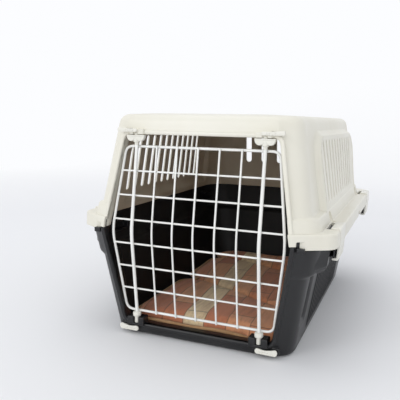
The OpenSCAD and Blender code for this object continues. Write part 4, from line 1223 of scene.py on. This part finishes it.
def make_stage():
    """Pale floor that curves up into a backdrop far behind."""
    a = np.radians(np.linspace(0, 90, 24))
    y = np.concatenate([[-3000.0, 400.0], 1500 + 900 * np.sin(a), [2400.0]])
    z = np.concatenate([[0.0, 0.0], 900 * (1 - np.cos(a)), [3200.0]])
    x = np.array([-4200.0, 4200.0])
    pts = np.stack([np.broadcast_to(x[None, :], (len(y), 2)), np.broadcast_to(y[:, None], (len(y), 2)),
                    np.broadcast_to(z[:, None], (len(y), 2))], -1)
    pts = pts.reshape(-1, 3) - np.array([0, 0, 0.1])
    floor = new_object("studio_floor", pts, [grid_faces(len(y), 2, False)])
    f = Finish("studio_floor")
    matt = f.node("ShaderNodeBsdfDiffuse", {"Color": lin(238, 238, 240)})
    glow = f.node("ShaderNodeEmission", {"Color": lin(252, 253, 255)})
    path = f.node("ShaderNodeLightPath")
    seen = f.math("MAXIMUM", path.outputs["Is Camera Ray"], path.outputs["Is Glossy Ray"])
    seen = f.math("MAXIMUM", seen, path.outputs["Is Transmission Ray"])
    xyz = f.node("ShaderNodeSeparateXYZ", {0: f.place})
    away = f.math("POWER", f.math("ADD", f.math("MULTIPLY", xyz.outputs[0], xyz.outputs[0]),
                                  f.math("MULTIPLY", xyz.outputs[1], xyz.outputs[1])), 0.5)
    far = f.span(away, 0.9, 2.3, 0.0, 1.0)
    far = f.math("MULTIPLY", seen, far)
    mix = f.node("ShaderNodeMixShader", {0: far, 1: matt.outputs[0], 2: glow.outputs[0]})
    f.link(mix.outputs[0], f.out.inputs["Surface"])
    f.tree.nodes.remove(f.shader)
    floor.data.materials.append(f.mat)


def area_light(name, place, target, size, power):
    lamp = bpy.data.lights.new(name, "AREA")
    lamp.shape = "DISK"
    lamp.size = size
    lamp.energy = power
    ob = bpy.data.objects.new(name, lamp)
    ob.location = place
    ob.rotation_euler = (Vector(target) - Vector(place)).to_track_quat("-Z", "Y").to_euler()
    bpy.context.scene.collection.objects.link(ob)


def make_light():
    """Surroundings that are white to camera and reflections and a little dimmer as light, and three lamps."""
    world = bpy.data.worlds.new("studio")
    world.use_nodes = True
    bpy.context.scene.world = world
    t = world.node_tree
    t.nodes.clear()
    out = t.nodes.new("ShaderNodeOutputWorld")
    dim, bright = t.nodes.new("ShaderNodeBackground"), t.nodes.new("ShaderNodeBackground")
    mix = t.nodes.new("ShaderNodeMixShader")
    dim.inputs[0].default_value = (0.96, 0.98, 1.0, 1)
    dim.inputs[1].default_value = 0.84
    bright.inputs[0].default_value = lin(252, 253, 255)
    path = t.nodes.new("ShaderNodeLightPath")
    both = t.nodes.new("ShaderNodeMath")
    both.operation = "MAXIMUM"
    t.links.new(path.outputs["Is Camera Ray"], both.inputs[0])
    t.links.new(path.outputs["Is Glossy Ray"], both.inputs[1])
    t.links.new(both.outputs[0], mix.inputs[0])
    t.links.new(dim.outputs[0], mix.inputs[1])
    t.links.new(bright.outputs[0], mix.inputs[2])
    t.links.new(mix.outputs[0], out.inputs[0])
    area_light("key", (-1.9, -3.2, 1.9), (0, 0, 0.12), 2.0, 24)
    area_light("front", (0.5, -3.4, 1.2), (0, 0, 0.1), 1.6, 14)
    area_light("top", (-0.3, 0.4, 3.0), (0, 0, 0.1), 2.4, 12)


def make_camera():
    """The photograph's camera: its place, turn about z, downward tilt and roll, and its focal length."""
    turn, tilt, roll = (math.radians(v) for v in (22.32, 8.76, 0.95))
    fwd = Vector((-math.sin(turn) * math.cos(tilt), math.cos(turn) * math.cos(tilt), -math.sin(tilt)))
    right = Vector((math.cos(turn), math.sin(turn), 0))
    up = right.cross(fwd)
    r = math.cos(roll) * right + math.sin(roll) * up
    u = -math.sin(roll) * right + math.cos(roll) * up
    cam = bpy.data.cameras.new("camera")
    cam.sensor_width, cam.sensor_fit = 36, "HORIZONTAL"
    cam.lens = 521.1 / 400 * 36
    cam.clip_end = 50
    ob = bpy.data.objects.new("camera", cam)
    m = Matrix((r, u, -fwd)).transposed().to_4x4()
    m.translation = Vector((236.4, -775.6, 277.3)) * MM
    ob.matrix_world = m
    bpy.context.scene.collection.objects.link(ob)
    bpy.context.scene.camera = ob


make_shells()
make_door()
make_grips()
make_locks()
make_clips()
make_handle()
make_mat()
plain = dict.fromkeys(("clip_pins", "handle_pins", "grip_spring_left", "grip_spring_right"), STEEL)
plain.update(rod_bush_left=IVORY_SMALL, rod_bush_right=IVORY_SMALL)
for node, finish in plain.items():
    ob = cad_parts[node]
    ob.data.materials.clear()
    ob.data.materials.append(finish)
make_stage()
make_light()
make_camera()
bpy.context.scene.view_settings.view_transform = "Standard"
